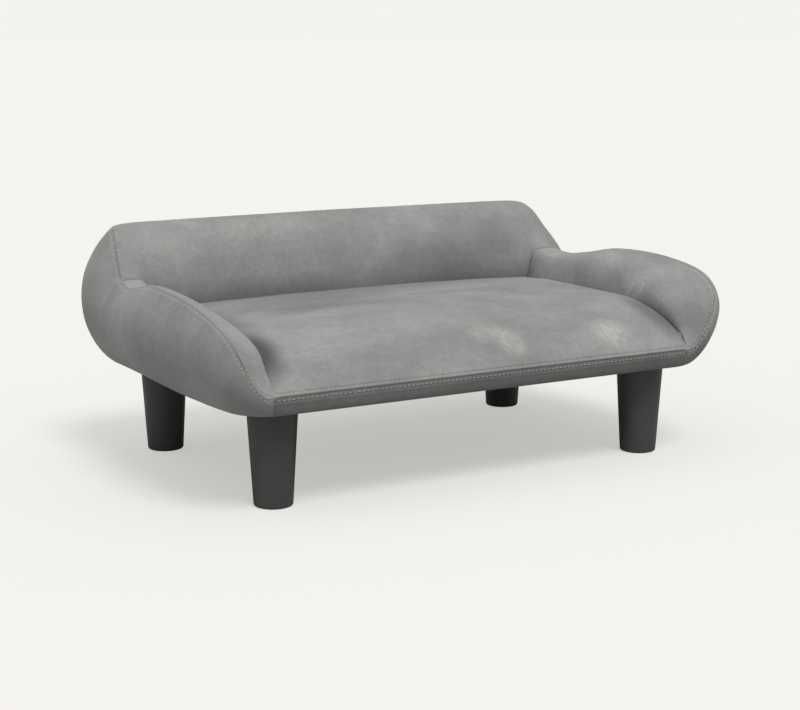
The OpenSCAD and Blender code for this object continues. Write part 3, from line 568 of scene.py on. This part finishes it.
back_end_d = cross_runs(back, 0)
back_edge_d = np.minimum(back_near, back_end_d)
foot_way = np.vstack([arm_end_back, back_valley_back[1:]])
foot_seam = 1 - ease((np.arange(len(back)) / DOME - FOOT_SEAM_SHARE) / (1 - FOOT_SEAM_SHARE))
back_way = blend(back_n, head_way[:, None], back_near)
back_way = blend(back_way, wing_way[None], back_end_d)
back_way = blend(back_way, foot_way[:, None], back_far)
foot_relief = foot_seam[:, None] * groove(back_far, PLAIN_DEPTH, PLAIN_REACH)
back_relief = stitched(back_edge_d) + foot_relief * away(back_end_d, END_REACH)
back_relief *= clear_of_corners(back)
BACK = Sheet(back, back_way, back_relief, free_of(back_edge_d, back_far))


# Unevenness of the stuffing and puckers beside the seams, the same on every run: height and length of
# the waves in millimetres, then how soon a pucker starts and fades as the cloth comes free
BROAD_HEIGHT, BROAD_LENGTH = 1.1, 85
SHORT_HEIGHT, SHORT_LENGTH = 0.45, 32
PUCKER_HEIGHT, PUCKER_LENGTH = 0.28, 9
PUCKER_START, PUCKER_FADE = 30, 5
WAVE_SHIFT = Vector((7.3, 3.1, 5.7))


def waves(points, length, seed):
    """Smooth noise in space, with waves of about the given length."""
    flat = points.reshape(-1, 3) / length
    shift = seed * WAVE_SHIFT
    return np.array([noise.noise(Vector(p) + shift) for p in flat]).reshape(points.shape[:-1])


def quads_of(n, m):
    """Faces between the points of a grid."""
    a = (np.arange(n - 1)[:, None] * m + np.arange(m - 1)).ravel()
    return np.stack([a, a + m, a + m + 1, a + 1], -1)


def added(name, data):
    o = bpy.data.objects.new(name, data)
    bpy.context.scene.collection.objects.link(o)
    return o


# Cloth simulation of the covers: step of its grid, first sinking and cap in millimetres, then pressure,
# frames and how soon the hold of the seams ends as the cloth comes free
CLOTH_STEP, CLOTH_SINK, CLOTH_CAP = 7.0, 0.3, 2.5
CLOTH_PRESSURE, CLOTH_FRAMES, HELD_FALL = 4.0, 16, 1.3
# Stiffness and mass of the cloth on the flat seat and on the bulging covers
FLAT_CLOTH, CURVED_CLOTH = (200.0, 0.3), (15.0, 0.004)
BENDING_SHARE = 0.1


def picked(line):
    """Indices of points along a line that are a step apart, both of its ends too, and all distances."""
    run = runs(line)
    kept = [0]
    for k in range(1, len(run) - 1):
        if run[k] - run[kept[-1]] >= CLOTH_STEP and run[-1] - run[k] >= CLOTH_STEP / 2:
            kept.append(k)
    return np.array(kept + [len(run) - 1]), run


def spread_over(at, values, want):
    """Values at some places along a line, read at other places from a smooth curve through them."""
    line = smooth_line(np.stack([at, values], -1))
    return np.interp(want, line[:, 0], line[:, 1])


def simulated(start, faces, hold, stiffness, mass):
    """Points in millimetres after the cloth simulation. A point with a hold of one stays where it is."""
    mesh = bpy.data.meshes.new("cloth")
    mesh.from_pydata((start * MM).tolist(), [], faces.tolist())
    o = added("cloth", mesh)
    held = o.vertex_groups.new(name="held")
    for index, weight in enumerate(hold):
        held.add([index], float(weight), "REPLACE")
    cloth = o.modifiers.new("cloth", "CLOTH")
    cloth.settings.vertex_group_mass = "held"
    cloth.settings.use_pressure = True
    cloth.settings.uniform_pressure_force = CLOTH_PRESSURE
    cloth.settings.mass = mass
    cloth.settings.effector_weights.gravity = 0
    cloth.settings.tension_stiffness = stiffness
    cloth.settings.compression_stiffness = stiffness
    cloth.settings.shear_stiffness = stiffness
    cloth.settings.bending_stiffness = stiffness * BENDING_SHARE
    cloth.point_cache.frame_start = 1
    cloth.point_cache.frame_end = CLOTH_FRAMES
    for frame_now in range(1, CLOTH_FRAMES + 1):
        bpy.context.scene.frame_set(frame_now)
    after = o.evaluated_get(bpy.context.evaluated_depsgraph_get()).to_mesh()
    moved = np.empty(start.size)
    after.vertices.foreach_get("co", moved)
    bpy.data.objects.remove(o)
    bpy.data.meshes.remove(mesh)
    bpy.context.scene.frame_set(1)
    return moved / MM


def swollen(sheet, cloth):
    """How far a cover rises under the push of its foam, from a coarse copy that starts a little sunk and
    is held at the seams."""
    n, m = sheet.free.shape
    columns, across = picked(sheet.points[:, m // 2])
    rows, up = picked(sheet.points[n // 2])
    pick = np.ix_(columns, rows)
    free, way, rest = sheet.free[pick], sheet.way[pick], sheet.points[pick]
    free[[0, -1]] = 0
    free[:, [0, -1]] = 0
    start = (rest - way * CLOTH_SINK * free[..., None]).reshape(-1, 3)
    faces = quads_of(*free.shape)
    look = np.cross(start[faces[:, 2]] - start[faces[:, 0]], start[faces[:, 3]] - start[faces[:, 1]])
    if (look * way.reshape(-1, 3)[faces[:, 0]]).sum() < 0:
        faces = faces[:, ::-1]
    moved = simulated(start, faces, np.maximum(0, 1 - HELD_FALL * free.ravel()), *cloth)
    rise = ((moved.reshape(rest.shape) - rest) * way).sum(-1)
    rise = CLOTH_CAP * np.tanh(rise / CLOTH_CAP)
    rise = np.array([spread_over(up[rows], r, up) for r in rise])
    return np.array([spread_over(across[columns], r, across) for r in rise.T]).T


def finished(sheet, seed, cloth):
    uneven = BROAD_HEIGHT * waves(sheet.points, BROAD_LENGTH, seed)
    uneven = uneven + SHORT_HEIGHT * waves(sheet.points, SHORT_LENGTH, seed + 1)
    beside_seam = np.exp(-sheet.free * PUCKER_FADE) * (1 - np.exp(-sheet.free * PUCKER_START))
    pucker = PUCKER_HEIGHT * waves(sheet.points, PUCKER_LENGTH, seed + 2) * beside_seam
    lift = sheet.relief + uneven * sheet.free + pucker + swollen(sheet, cloth)
    return sheet.points + sheet.way * lift[..., None]


def to_row(points):
    """Points in millimetres behind the front seam as points of the frame."""
    return (points + np.array([0, FRONT_Y, 0])) * MM


def smooth_object(name, mesh, look):
    mesh.polygons.foreach_set("use_smooth", [True] * len(mesh.polygons))
    o = added(name, mesh)
    o.data.materials.append(look)
    return o


# Points this close in millimetres are one point of a mesh
SAME_POINT = 0.001


def shell(name, outer, inner, look):
    """A closed sheet from its outer and inner points."""
    n, m = outer.shape[:2]
    size = n * m
    quads = quads_of(n, m)
    index = np.arange(size).reshape(n, m)
    border = np.r_[index[:, 0], index[-1, 1:], index[-2::-1, -1], index[0, -2:0:-1]]
    after = np.roll(border, -1)
    rim_faces = np.stack([border, after, after + size, border + size], -1)
    faces = quads.tolist() + (quads[:, ::-1] + size).tolist() + rim_faces.tolist()
    points = np.concatenate([outer.reshape(-1, 3), inner.reshape(-1, 3)])
    mesh = bpy.data.meshes.new(name)
    mesh.from_pydata([tuple(p) for p in to_row(points)], [], faces)
    b = bmesh.new()
    b.from_mesh(mesh)
    bmesh.ops.remove_doubles(b, verts=b.verts, dist=SAME_POINT * MM)
    bmesh.ops.dissolve_degenerate(b, edges=b.edges, dist=SAME_POINT * MM)
    bmesh.ops.recalc_face_normals(b, faces=b.faces)
    b.to_mesh(mesh)
    b.free()
    return smooth_object(name, mesh, look)


# Materials
EVENLY = (1, 1, 1)


def srgb(r, g, b):
    """A colour from 0 to 255 in the sRGB display as the linear colour of a shader."""
    def lin(v):
        v /= 255
        return v / 12.92 if v <= 0.04045 else ((v + 0.055) / 1.055)**2.4
    return (lin(r), lin(g), lin(b), 1)


def grey(v):
    return (v, v, v, 1)


def material(name, roughness, metallic=0.0):
    m = bpy.data.materials.new(name)
    m.use_nodes = True
    shader = m.node_tree.nodes["Principled BSDF"]
    shader.inputs["Roughness"].default_value = roughness
    shader.inputs["Metallic"].default_value = metallic
    return m, m.node_tree, shader


def node(tree, kind, **values):
    n = tree.nodes.new(kind)
    for key, value in values.items():
        n.inputs[key.replace("_", " ")].default_value = value
    return n


def link(tree, a, b):
    tree.links.new(a, b)


def place_on(tree):
    return tree.nodes.new("ShaderNodeTexCoord").outputs["Object"]


def ramp(tree, fac, stops):
    n = tree.nodes.new("ShaderNodeValToRGB")
    n.color_ramp.interpolation = "EASE"
    for e, (at, colour) in zip(n.color_ramp.elements, stops):
        e.position = at
        e.color = colour
    link(tree, fac, n.inputs["Fac"])
    return n.outputs["Color"]


def stretched_noise(tree, place_out, stretch, scale, detail, rough=0.5, warp=0.0):
    mapping = node(tree, "ShaderNodeMapping", Scale=stretch)
    link(tree, place_out, mapping.inputs["Vector"])
    n = node(tree, "ShaderNodeTexNoise", Scale=scale, Detail=detail, Roughness=rough, Distortion=warp)
    link(tree, mapping.outputs["Vector"], n.inputs["Vector"])
    return n.outputs["Fac"]


def mix(tree, kind):
    n = tree.nodes.new("ShaderNodeMix")
    n.data_type = "RGBA"
    n.blend_type = kind
    n.inputs["Factor"].default_value = 1.0
    return n


def mixed(tree, kind, a, b):
    n = mix(tree, kind)
    link(tree, a, n.inputs["A"])
    link(tree, b, n.inputs["B"])
    return n.outputs["Result"]


def bumped(tree, shader, height, strength, distance):
    bump = node(tree, "ShaderNodeBump", Strength=strength, Distance=distance)
    link(tree, height, bump.inputs["Height"])
    link(tree, bump.outputs["Normal"], shader.inputs["Normal"])


def by_camera_ray(tree, unseen, seen, target):
    """One shader for what the camera sees and another for the light that the surface sends on."""
    path = tree.nodes.new("ShaderNodeLightPath")
    both = tree.nodes.new("ShaderNodeMixShader")
    link(tree, path.outputs["Is Camera Ray"], both.inputs[0])
    link(tree, unseen, both.inputs[1])
    link(tree, seen, both.inputs[2])
    link(tree, both.outputs[0], target)


def soft_spot(tree, where, centre, size, turn):
    """A soft spot, 1 in its middle and 0 at its edge, for a stroke of brushed nap, of painted light or of
    painted shade. Sizes in millimetres.
    """
    spot = tree.nodes.new("ShaderNodeMapping")
    spot.vector_type = "TEXTURE"
    spot.inputs["Location"].default_value = tuple(v * MM for v in centre)
    spot.inputs["Scale"].default_value = tuple(v * MM for v in size)
    spot.inputs["Rotation"].default_value = (0, 0, math.radians(turn))
    link(tree, where, spot.inputs["Vector"])
    ball = tree.nodes.new("ShaderNodeTexGradient")
    ball.gradient_type = "SPHERICAL"
    link(tree, spot.outputs["Vector"], ball.inputs["Vector"])
    return ball.outputs["Fac"]


# Brushed velvet: tones of the nap stroked up and down, used too for painted light and painted shade, and the
# pile
LIGHT_NAP_AND_LIT, DARK_NAP_AND_SHADE = srgb(206, 208, 204), srgb(84, 86, 84)
VELVET_ROUGHNESS, VELVET_SPECULAR = 0.88, 0.25
VELVET_SHIFT = (0.37, 0.91, 0.53)
PILE_SCALE, PILE_STRENGTH, PILE_HEIGHT = 1400, 0.25, 0.0004
SHEEN, SHEEN_ROUGHNESS, SHEEN_TINT = 0.12, 0.4, (0.95, 0.97, 0.95, 1)
# Layers of its tone: scale, detail, roughness and warp of the noise, then where it is darkest and where
# it is lightest, each with its share of the tone
PATCHES = (6.5, 2, 0.45, 0.3), (0.3, 0.88), (0.72, 1.09)
SMUDGES = (24, 4, 0.55, 0.2), (0.3, 0.94), (0.72, 1.06)
SPECKS = (150, 3, 0.7, 0), (0.35, 0.94), (0.75, 1.07)
SCRATCHES = (95, 5, 0.75, 1.2), (0.42, 0.35), (0.62, 1.0)
SCRATCH_STRETCH = (1.6, 1, 1)
STROKE_SPOT = [(0.0, grey(0)), (0.75, grey(1))]


def stroked(tree, colour, spot, strength, scratchy):
    """A colour with one stroke on it, of brushed nap, painted light or painted shade. A light stroke is
    scratchy and a dark one is smooth.
    """
    n = mix(tree, "MIX")
    n.inputs["B"].default_value = LIGHT_NAP_AND_LIT if strength > 0 else DARK_NAP_AND_SHADE
    weight = tree.nodes.new("ShaderNodeMath")
    weight.operation = "MULTIPLY"
    weight.inputs[1].default_value = abs(strength)
    link(tree, mixed(tree, "MULTIPLY", spot, scratchy) if strength > 0 else spot, weight.inputs[0])
    link(tree, weight.outputs[0], n.inputs["Factor"])
    link(tree, colour, n.inputs["A"])
    return n.outputs["Result"]


def layered(tree, where, stretch, layer):
    grain, dark, light = layer
    stops = [(at, grey(share)) for at, share in (dark, light)]
    return ramp(tree, stretched_noise(tree, where, stretch, *grain), stops)


def velvet(name, tone, stretch, seed, strokes=()):
    """Velvet with soft patches where the nap lies the other way, smudges, specks and single strokes of
    brushed nap, painted light and painted shade.
    """
    m, tree, shader = material(name, VELVET_ROUGHNESS)
    cloth_place = place_on(tree)
    shift = node(tree, "ShaderNodeMapping", Location=tuple(seed * v for v in VELVET_SHIFT))
    link(tree, cloth_place, shift.inputs["Vector"])
    where = shift.outputs["Vector"]
    base = tree.nodes.new("ShaderNodeRGB")
    base.outputs[0].default_value = tone
    colour = base.outputs[0]
    for pulled, layer in ((stretch, PATCHES), (stretch, SMUDGES), (EVENLY, SPECKS)):
        colour = mixed(tree, "MULTIPLY", colour, layered(tree, where, pulled, layer))
    scratchy = layered(tree, where, SCRATCH_STRETCH, SCRATCHES)
    for centre, size, turn, strength in strokes:
        spot = ramp(tree, soft_spot(tree, cloth_place, centre, size, turn), STROKE_SPOT)
        colour = stroked(tree, colour, spot, strength, scratchy)
    link(tree, colour, shader.inputs["Base Color"])
    shader.inputs["Specular IOR Level"].default_value = VELVET_SPECULAR
    shader.inputs["Sheen Weight"].default_value = SHEEN
    shader.inputs["Sheen Roughness"].default_value = SHEEN_ROUGHNESS
    shader.inputs["Sheen Tint"].default_value = SHEEN_TINT
    pile = stretched_noise(tree, where, EVENLY, PILE_SCALE, 2, 0.6)
    bumped(tree, shader, pile, PILE_STRENGTH, PILE_HEIGHT)
    return m


# Strokes of brushed nap, painted light and painted shade, as centre, half size, turn about the vertical and
# strength, light above nought. The dark strokes in the seat's valleys beside the arms, along the foot of the
# back and at the lower front corners are painted shade
SEAT_NAP_AND_SHADING_STROKES = [
    ((36, -200, 164), (26, 34, 40), 20, 0.5), ((8, -186, 172), (30, 22, 40), 0, 0.3),
    ((178, -205, 158), (34, 30, 40), 30, 0.55), ((200, -150, 180), (30, 26, 40), 0, 0.2),
    ((-150, -50, 191), (70, 34, 40), 10, -0.22), ((-110, -110, 190), (80, 26, 40), 5, -0.14),
    ((-270, -168, 165), (38, 72, 60), -6, -1.0), ((-262, -60, 180), (42, 120, 60), 0, -0.4),
    ((266, -172, 165), (32, 80, 60), 6, -0.6), ((20, 80, 190), (300, 100, 60), 0, -0.36),
    ((-120, -20, 192), (130, 80, 40), 0, -0.3), ((185, -60, 188), (60, 60, 40), 0, 0.16),
]
ARM_NAP_AND_SHADING_STROKES = [
    ((277, 74, 192), (40, 34, 30), 0, 0.3), ((292, -42, 212), (40, 40, 26), 0, 0.28),
    ((282, -115, 188), (40, 34, 34), 0, 0.45), ((284, -165, 175), (40, 30, 34), 0, 0.3),
    ((300, -216, 162), (44, 42, 50), 0, -0.38), ((335, -110, 195), (36, 80, 50), 0, -0.34),
    ((-289, -72, 212), (40, 50, 26), 0, 0.15),
]
BACK_NAP_AND_SHADING_STROKES = [
    ((-265, 130, 240), (60, 60, 50), 0, 0.14), ((-150, 140, 250), (60, 60, 40), 0, 0.12),
    ((150, 130, 210), (150, 70, 45), 0, -0.28), ((215, 130, 235), (50, 60, 40), 0, -0.2),
    ((120, 120, 262), (40, 60, 20), 0, 0.12), ((-110, 130, 268), (120, 60, 22), 0, 0.2),
    ((-110, 120, 212), (120, 60, 22), 0, 0.2),
]
SIDE_NAP_AND_SHADING_STROKES = [
    ((-290, -235, 118), (80, 70, 50), 0, -0.36), ((292, -235, 120), (70, 60, 50), 0, -0.6),
    ((330, -190, 150), (50, 60, 60), 0, -0.3), ((-345, -60, 140), (50, 80, 50), 0, -0.05),
    ((-350, 60, 150), (60, 120, 60), 0, 0.06), ((-330, -20, 205), (50, 90, 30), 0, 0.08),
    ((-341, 120, 195), (50, 60, 50), 0, -0.14),
]
# One cloth in a tone per cover: the arms' lighter tone is painted light, and the band's much darker tone is
# painted shade
CLOTH_TONE, BACK_TONE, ARM_LIT_TONE = srgb(153, 154, 152), srgb(154, 155, 153), srgb(160, 161, 159)
BAND_SHADED_TONE = srgb(113, 114, 112)
velvet_seat = velvet("velvet_seat", CLOTH_TONE, (1.0, 1.6, 1.6), 1, SEAT_NAP_AND_SHADING_STROKES)
velvet_back = velvet("velvet_back", BACK_TONE, (1.3, 1.3, 1.0), 2, BACK_NAP_AND_SHADING_STROKES)
velvet_arm_lit = velvet("velvet_arm_lit", ARM_LIT_TONE, (1.6, 1.2, 1.2), 3, ARM_NAP_AND_SHADING_STROKES)
velvet_side = velvet("velvet_side", CLOTH_TONE, (1.3, 1.2, 1.0), 4, SIDE_NAP_AND_SHADING_STROKES)
velvet_band_shaded = velvet("velvet_band_shaded", BAND_SHADED_TONE, (1.3, 1.2, 1.0), 5)

# Upholstery: thickness of its sheets, which is less at the lower edge, where the cloth turns under the
# base, and grows over this run from this height above it
T_SHELL, T_EDGE = 4.0, 1.0
EDGE_START, EDGE_RUN = 1, 10


def outside_thickness(sheet):
    """Thickness of the outer covers, from their lower edge up."""
    return T_EDGE + (T_SHELL - T_EDGE) * ease((sheet.points[..., 2] - EDGE_Z - EDGE_START) / EDGE_RUN)


def upholster(name, sheet, seed, look, replaced, thickness=T_SHELL, cloth=CURVED_CLOTH):
    """One cover as a piece of the frame. Returns its outer points."""
    outer = finished(sheet, seed, cloth)
    t = thickness * np.ones_like(sheet.relief)
    inner = sheet.points - sheet.way * t[..., None]
    o = shell(name, outer, inner, look)
    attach(o, "root")
    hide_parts(*replaced)
    return outer


right_side = OUTSIDE.columns(FIRST_ARM, WRAP)
whole = {
    "seat": SEAT.both(True),
    "band": OUTSIDE.columns(0, FIRST_ARM).both(True),
    "back": BACK.both(False),
    "right_arm": ARM,
    "left_arm": ARM.mirrored(),
    "right_side": right_side,
    "left_side": right_side.mirrored(),
    "rear": OUTSIDE.columns(WRAP, FIRST_TOP + N_TOP).both(False),
}
surface = {
    "seat": upholster("seat_pad", whole["seat"], 1, velvet_seat, ["seat_cover", "seat_foam"],
                      cloth=FLAT_CLOTH),
    "band": upholster("front_band_cover", whole["band"], 2, velvet_band_shaded, ["front_band"],
                      outside_thickness(whole["band"])),
    "back": upholster("back_pad", whole["back"], 3, velvet_back, ["back_inner_cover", "back_foam"]),
}
for seed, part in ((4, "right_arm"), (5, "left_arm")):
    covers = [part + "_inner_cover", part + "_foam"]
    surface[part] = upholster(part + "_pad", whole[part], seed, velvet_arm_lit, covers)
for seed, part in ((6, "right_side"), (7, "left_side"), (8, "rear")):
    surface[part] = upholster(part + "_pad", whole[part], seed, velvet_side, [part + "_cover"],
                              outside_thickness(whole[part]))

# Topstitching: length, pitch and radius of its threads in millimetres, and their height over the cloth from
# end to end
STITCH_L, STITCH_PITCH, THREAD_R = 3.9, 5.6, 0.42
STITCH_RISE = (-0.35, 0.16, 0.26, 0.16, -0.35)
THREAD_SIDES = 6
# Columns at the two ends of each row that have no stitches, and rows at the head and foot of the back
UNSEWN = {
    "seat": (2, 2), "band": (1, 1), "back": (8, 8), "right_arm": (12, 6), "left_arm": (6, 12),
    "right_side": (1, 1), "left_side": (1, 1), "rear": (1, 1),
}
UNSEWN_HEAD, UNSEWN_FOOT = 10, 12


def stitch_row(line, up):
    """Short threads along a line on the cloth, each dipping into it at both ends."""
    run = runs(line)
    vertices, faces = [], []
    count = int(run[-1] // STITCH_PITCH)
    rings = len(STITCH_RISE)
    for k in range(count):
        s = (k + 0.5) * run[-1] / count + np.linspace(-STITCH_L / 2, STITCH_L / 2, rings)
        p = place(line, run, s)
        u = unit(place(up, run, s))
        t = unit(np.gradient(p, axis=0))
        side = unit(np.cross(t, u))
        p = p + u * np.array(STITCH_RISE)[:, None]
        start = len(vertices)
        for q, a, b in zip(p, u, side):
            for step in range(THREAD_SIDES):
                angle = step * 2 * math.pi / THREAD_SIDES
                vertices.append(q + THREAD_R * (a * math.cos(angle) + b * math.sin(angle)))
        for ring in range(rings - 1):
            for step in range(THREAD_SIDES):
                a = start + ring * THREAD_SIDES + step
                b = start + ring * THREAD_SIDES + (step + 1) % THREAD_SIDES
                faces.append([a, b, b + THREAD_SIDES, a + THREAD_SIDES])
        last = start + (rings - 1) * THREAD_SIDES
        faces.append([start + step for step in reversed(range(THREAD_SIDES))])
        faces.append([last + step for step in range(THREAD_SIDES)])
    return vertices, faces


def sewn(name, rows, look):
    vertices, faces = [], []
    for line, up in rows:
        v, f = stitch_row(line, up)
        faces += [[k + len(vertices) for k in face] for face in f]
        vertices += v
    mesh = bpy.data.meshes.new(name)
    mesh.from_pydata([tuple(p) for p in to_row(np.array(vertices))], [], faces)
    o = smooth_object(name, mesh, look)
    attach(o, "root")


def thread_look():
    m, tree, shader = material("sewing_thread", 0.6)
    twist = stretched_noise(tree, place_on(tree), EVENLY, 900, 2)
    link(tree, ramp(tree, twist, [(0.3, srgb(172, 174, 171)), (0.7, srgb(204, 206, 202))]),
         shader.inputs["Base Color"])
    shader.inputs["Sheen Weight"].default_value = 0.2
    return m


def row_of(part):
    """The line of the stitches along a cover, and its ways."""
    first, last = UNSEWN[part]
    keep = slice(first, len(surface[part]) - last)
    return surface[part][keep, STITCH_ROW], whole[part].way[keep, STITCH_ROW]


thread = thread_look()
keep = slice(UNSEWN_HEAD, -UNSEWN_FOOT)
sloped_ends = [(surface["back"][k, keep], whole["back"].way[k, keep]) for k in (STITCH_ROW, -1 - STITCH_ROW)]
sewn("front_seam_stitches", [row_of("seat"), row_of("band")], thread)
for part in ("right_arm", "left_arm", "back", "right_side", "left_side", "rear"):
    sewn(part + "_stitches", [row_of(part)] + (sloped_ends if part == "back" else []), thread)


# Legs, boards and hardware keep their solids and get their finish
def plastic_look():
    m, tree, shader = material("leg_plastic", 0.42)
    where = place_on(tree)
    tone = stretched_noise(tree, where, (1, 1, 0.3), 18, 3)
    link(tree, ramp(tree, tone, [(0.3, srgb(66, 66, 66)), (0.7, srgb(74, 74, 73))]),
         shader.inputs["Base Color"])
    bumped(tree, shader, stretched_noise(tree, where, EVENLY, 1500, 2), 0.12, 0.0003)
    rub = stretched_noise(tree, where, (1, 1, 0.5), 30, 3)
    link(tree, ramp(tree, rub, [(0.3, grey(0.4)), (0.7, grey(0.52))]), shader.inputs["Roughness"])
    return m


def wood_look(name, light, dark, across):
    m, tree, shader = material(name, 0.7)
    grain = stretched_noise(tree, place_on(tree), across, 30, 6, 0.65, 0.6)
    link(tree, ramp(tree, grain, [(0.3, dark), (0.65, light)]), shader.inputs["Base Color"])
    bumped(tree, shader, grain, 0.2, 0.0005)
    return m


def steel_look():
    m, tree, shader = material("zinc_steel", 0.32, 1.0)
    tone = stretched_noise(tree, place_on(tree), EVENLY, 300, 3)
    link(tree, ramp(tree, tone, [(0.3, srgb(172, 174, 178)), (0.7, srgb(200, 202, 205))]),
         shader.inputs["Base Color"])
    return m


def dust_look():
    m, tree, shader = material("dust_cloth", 0.95)
    fibre = stretched_noise(tree, place_on(tree), EVENLY, 700, 4, 0.8)
    link(tree, ramp(tree, fibre, [(0.3, srgb(24, 24, 25)), (0.7, srgb(46, 46, 48))]),
         shader.inputs["Base Color"])
    bumped(tree, shader, fibre, 0.4, 0.0004)
    return m


plywood = wood_look("plywood", srgb(206, 176, 132), srgb(168, 134, 92), (1, 8, 8))
softwood = wood_look("softwood", srgb(216, 186, 140), srgb(184, 148, 102), (8, 8, 1))
steel = steel_look()
FINISH = {
    "leg": plastic_look(), "stud": steel, "tee_nut": steel, "screws": steel, "staples": steel,
    "post": softwood, "board": plywood, "dust_cover": dust_look(),
}
for name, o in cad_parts.items():
    for end, look in FINISH.items():
        if name.endswith(end):
            o.data.materials.clear()
            o.data.materials.append(look)

# Floor, light and camera
BACKGROUND = srgb(244, 243, 239)
FLOOR_LIT, FLOOR_BOUNCED = (0.93, 0.925, 0.9, 1), (0.48, 0.48, 0.47, 1)
FLOOR_GLOW, FLOOR_HALF = 0.54, 60.0
SKY_LOW, SKY_HIGH = 0.2, 0.64
SIDE_WAY, SIDE_LIGHT = (-0.92, -0.2, 0.34), 0.16
SUN_ENERGY, SUN_ANGLE, SUN_COLOUR, SUN_TOWARD = 1.6, 24, (1.0, 0.995, 0.98), (0.03, 0.52, -0.85)
LENS, CAMERA_PLACE = 77.4, (-1.04625, -1.80868, 0.51125)
CAMERA_DOWN, CAMERA_TURN = 0.1874, -0.5282


def floor_look():
    """A floor that glows a little to the camera, to meet the background, and lights the sofa less."""
    m, tree, shader = material("floor", 1.0)
    tree.nodes.remove(shader)
    lit = node(tree, "ShaderNodeBsdfDiffuse", Color=FLOOR_LIT)
    glow = node(tree, "ShaderNodeEmission", Color=BACKGROUND, Strength=1.0)
    seen = tree.nodes.new("ShaderNodeMixShader")
    seen.inputs[0].default_value = FLOOR_GLOW
    link(tree, lit.outputs[0], seen.inputs[1])
    link(tree, glow.outputs[0], seen.inputs[2])
    bounced = node(tree, "ShaderNodeBsdfDiffuse", Color=FLOOR_BOUNCED)
    surface_in = tree.nodes["Material Output"].inputs["Surface"]
    by_camera_ray(tree, bounced.outputs[0], seen.outputs[0], surface_in)
    return m


def plain_floor():
    mesh = bpy.data.meshes.new("floor")
    corners = [(x * FLOOR_HALF, y * FLOOR_HALF, 0) for x, y in ((-1, -1), (1, -1), (1, 1), (-1, 1))]
    mesh.from_pydata(corners, [], [(0, 1, 2, 3)])
    o = added("floor", mesh)
    o.data.materials.append(floor_look())


def world_light():
    """A sky that is brighter above, with a large soft light at the left."""
    world = bpy.data.worlds.new("studio")
    bpy.context.scene.world = world
    world.use_nodes = True
    tree = world.node_tree
    plain = tree.nodes["Background"]
    plain.inputs["Strength"].default_value = 1.0
    way = tree.nodes.new("ShaderNodeTexCoord").outputs["Generated"]
    up = node(tree, "ShaderNodeSeparateXYZ")
    link(tree, way, up.inputs[0])
    sky = ramp(tree, up.outputs["Z"], [(0.0, grey(SKY_LOW)), (1.0, grey(SKY_HIGH))])
    side = tree.nodes.new("ShaderNodeVectorMath")
    side.operation = "DOT_PRODUCT"
    side.inputs[1].default_value = SIDE_WAY
    link(tree, way, side.inputs[0])
    box = ramp(tree, side.outputs["Value"], [(0.35, grey(0)), (0.95, grey(SIDE_LIGHT))])
    link(tree, mixed(tree, "ADD", sky, box), plain.inputs["Color"])
    seen = node(tree, "ShaderNodeBackground", Color=BACKGROUND, Strength=1.0)
    surface_in = tree.nodes["World Output"].inputs["Surface"]
    by_camera_ray(tree, plain.outputs[0], seen.outputs[0], surface_in)


def sun_light():
    lamp = bpy.data.lights.new("key", "SUN")
    lamp.energy = SUN_ENERGY
    lamp.angle = math.radians(SUN_ANGLE)
    lamp.color = SUN_COLOUR
    o = added("key", lamp)
    o.rotation_euler = Vector(SUN_TOWARD).to_track_quat("-Z", "Y").to_euler()


def studio_camera():
    data = bpy.data.cameras.new("camera")
    data.sensor_width = 36
    data.lens = LENS
    o = added("camera", data)
    o.location = CAMERA_PLACE
    o.rotation_euler = (math.pi / 2 - CAMERA_DOWN, 0, CAMERA_TURN)
    bpy.context.scene.camera = o


plain_floor()
world_light()
sun_light()
studio_camera()
bpy.context.scene.view_settings.view_transform = "Standard"
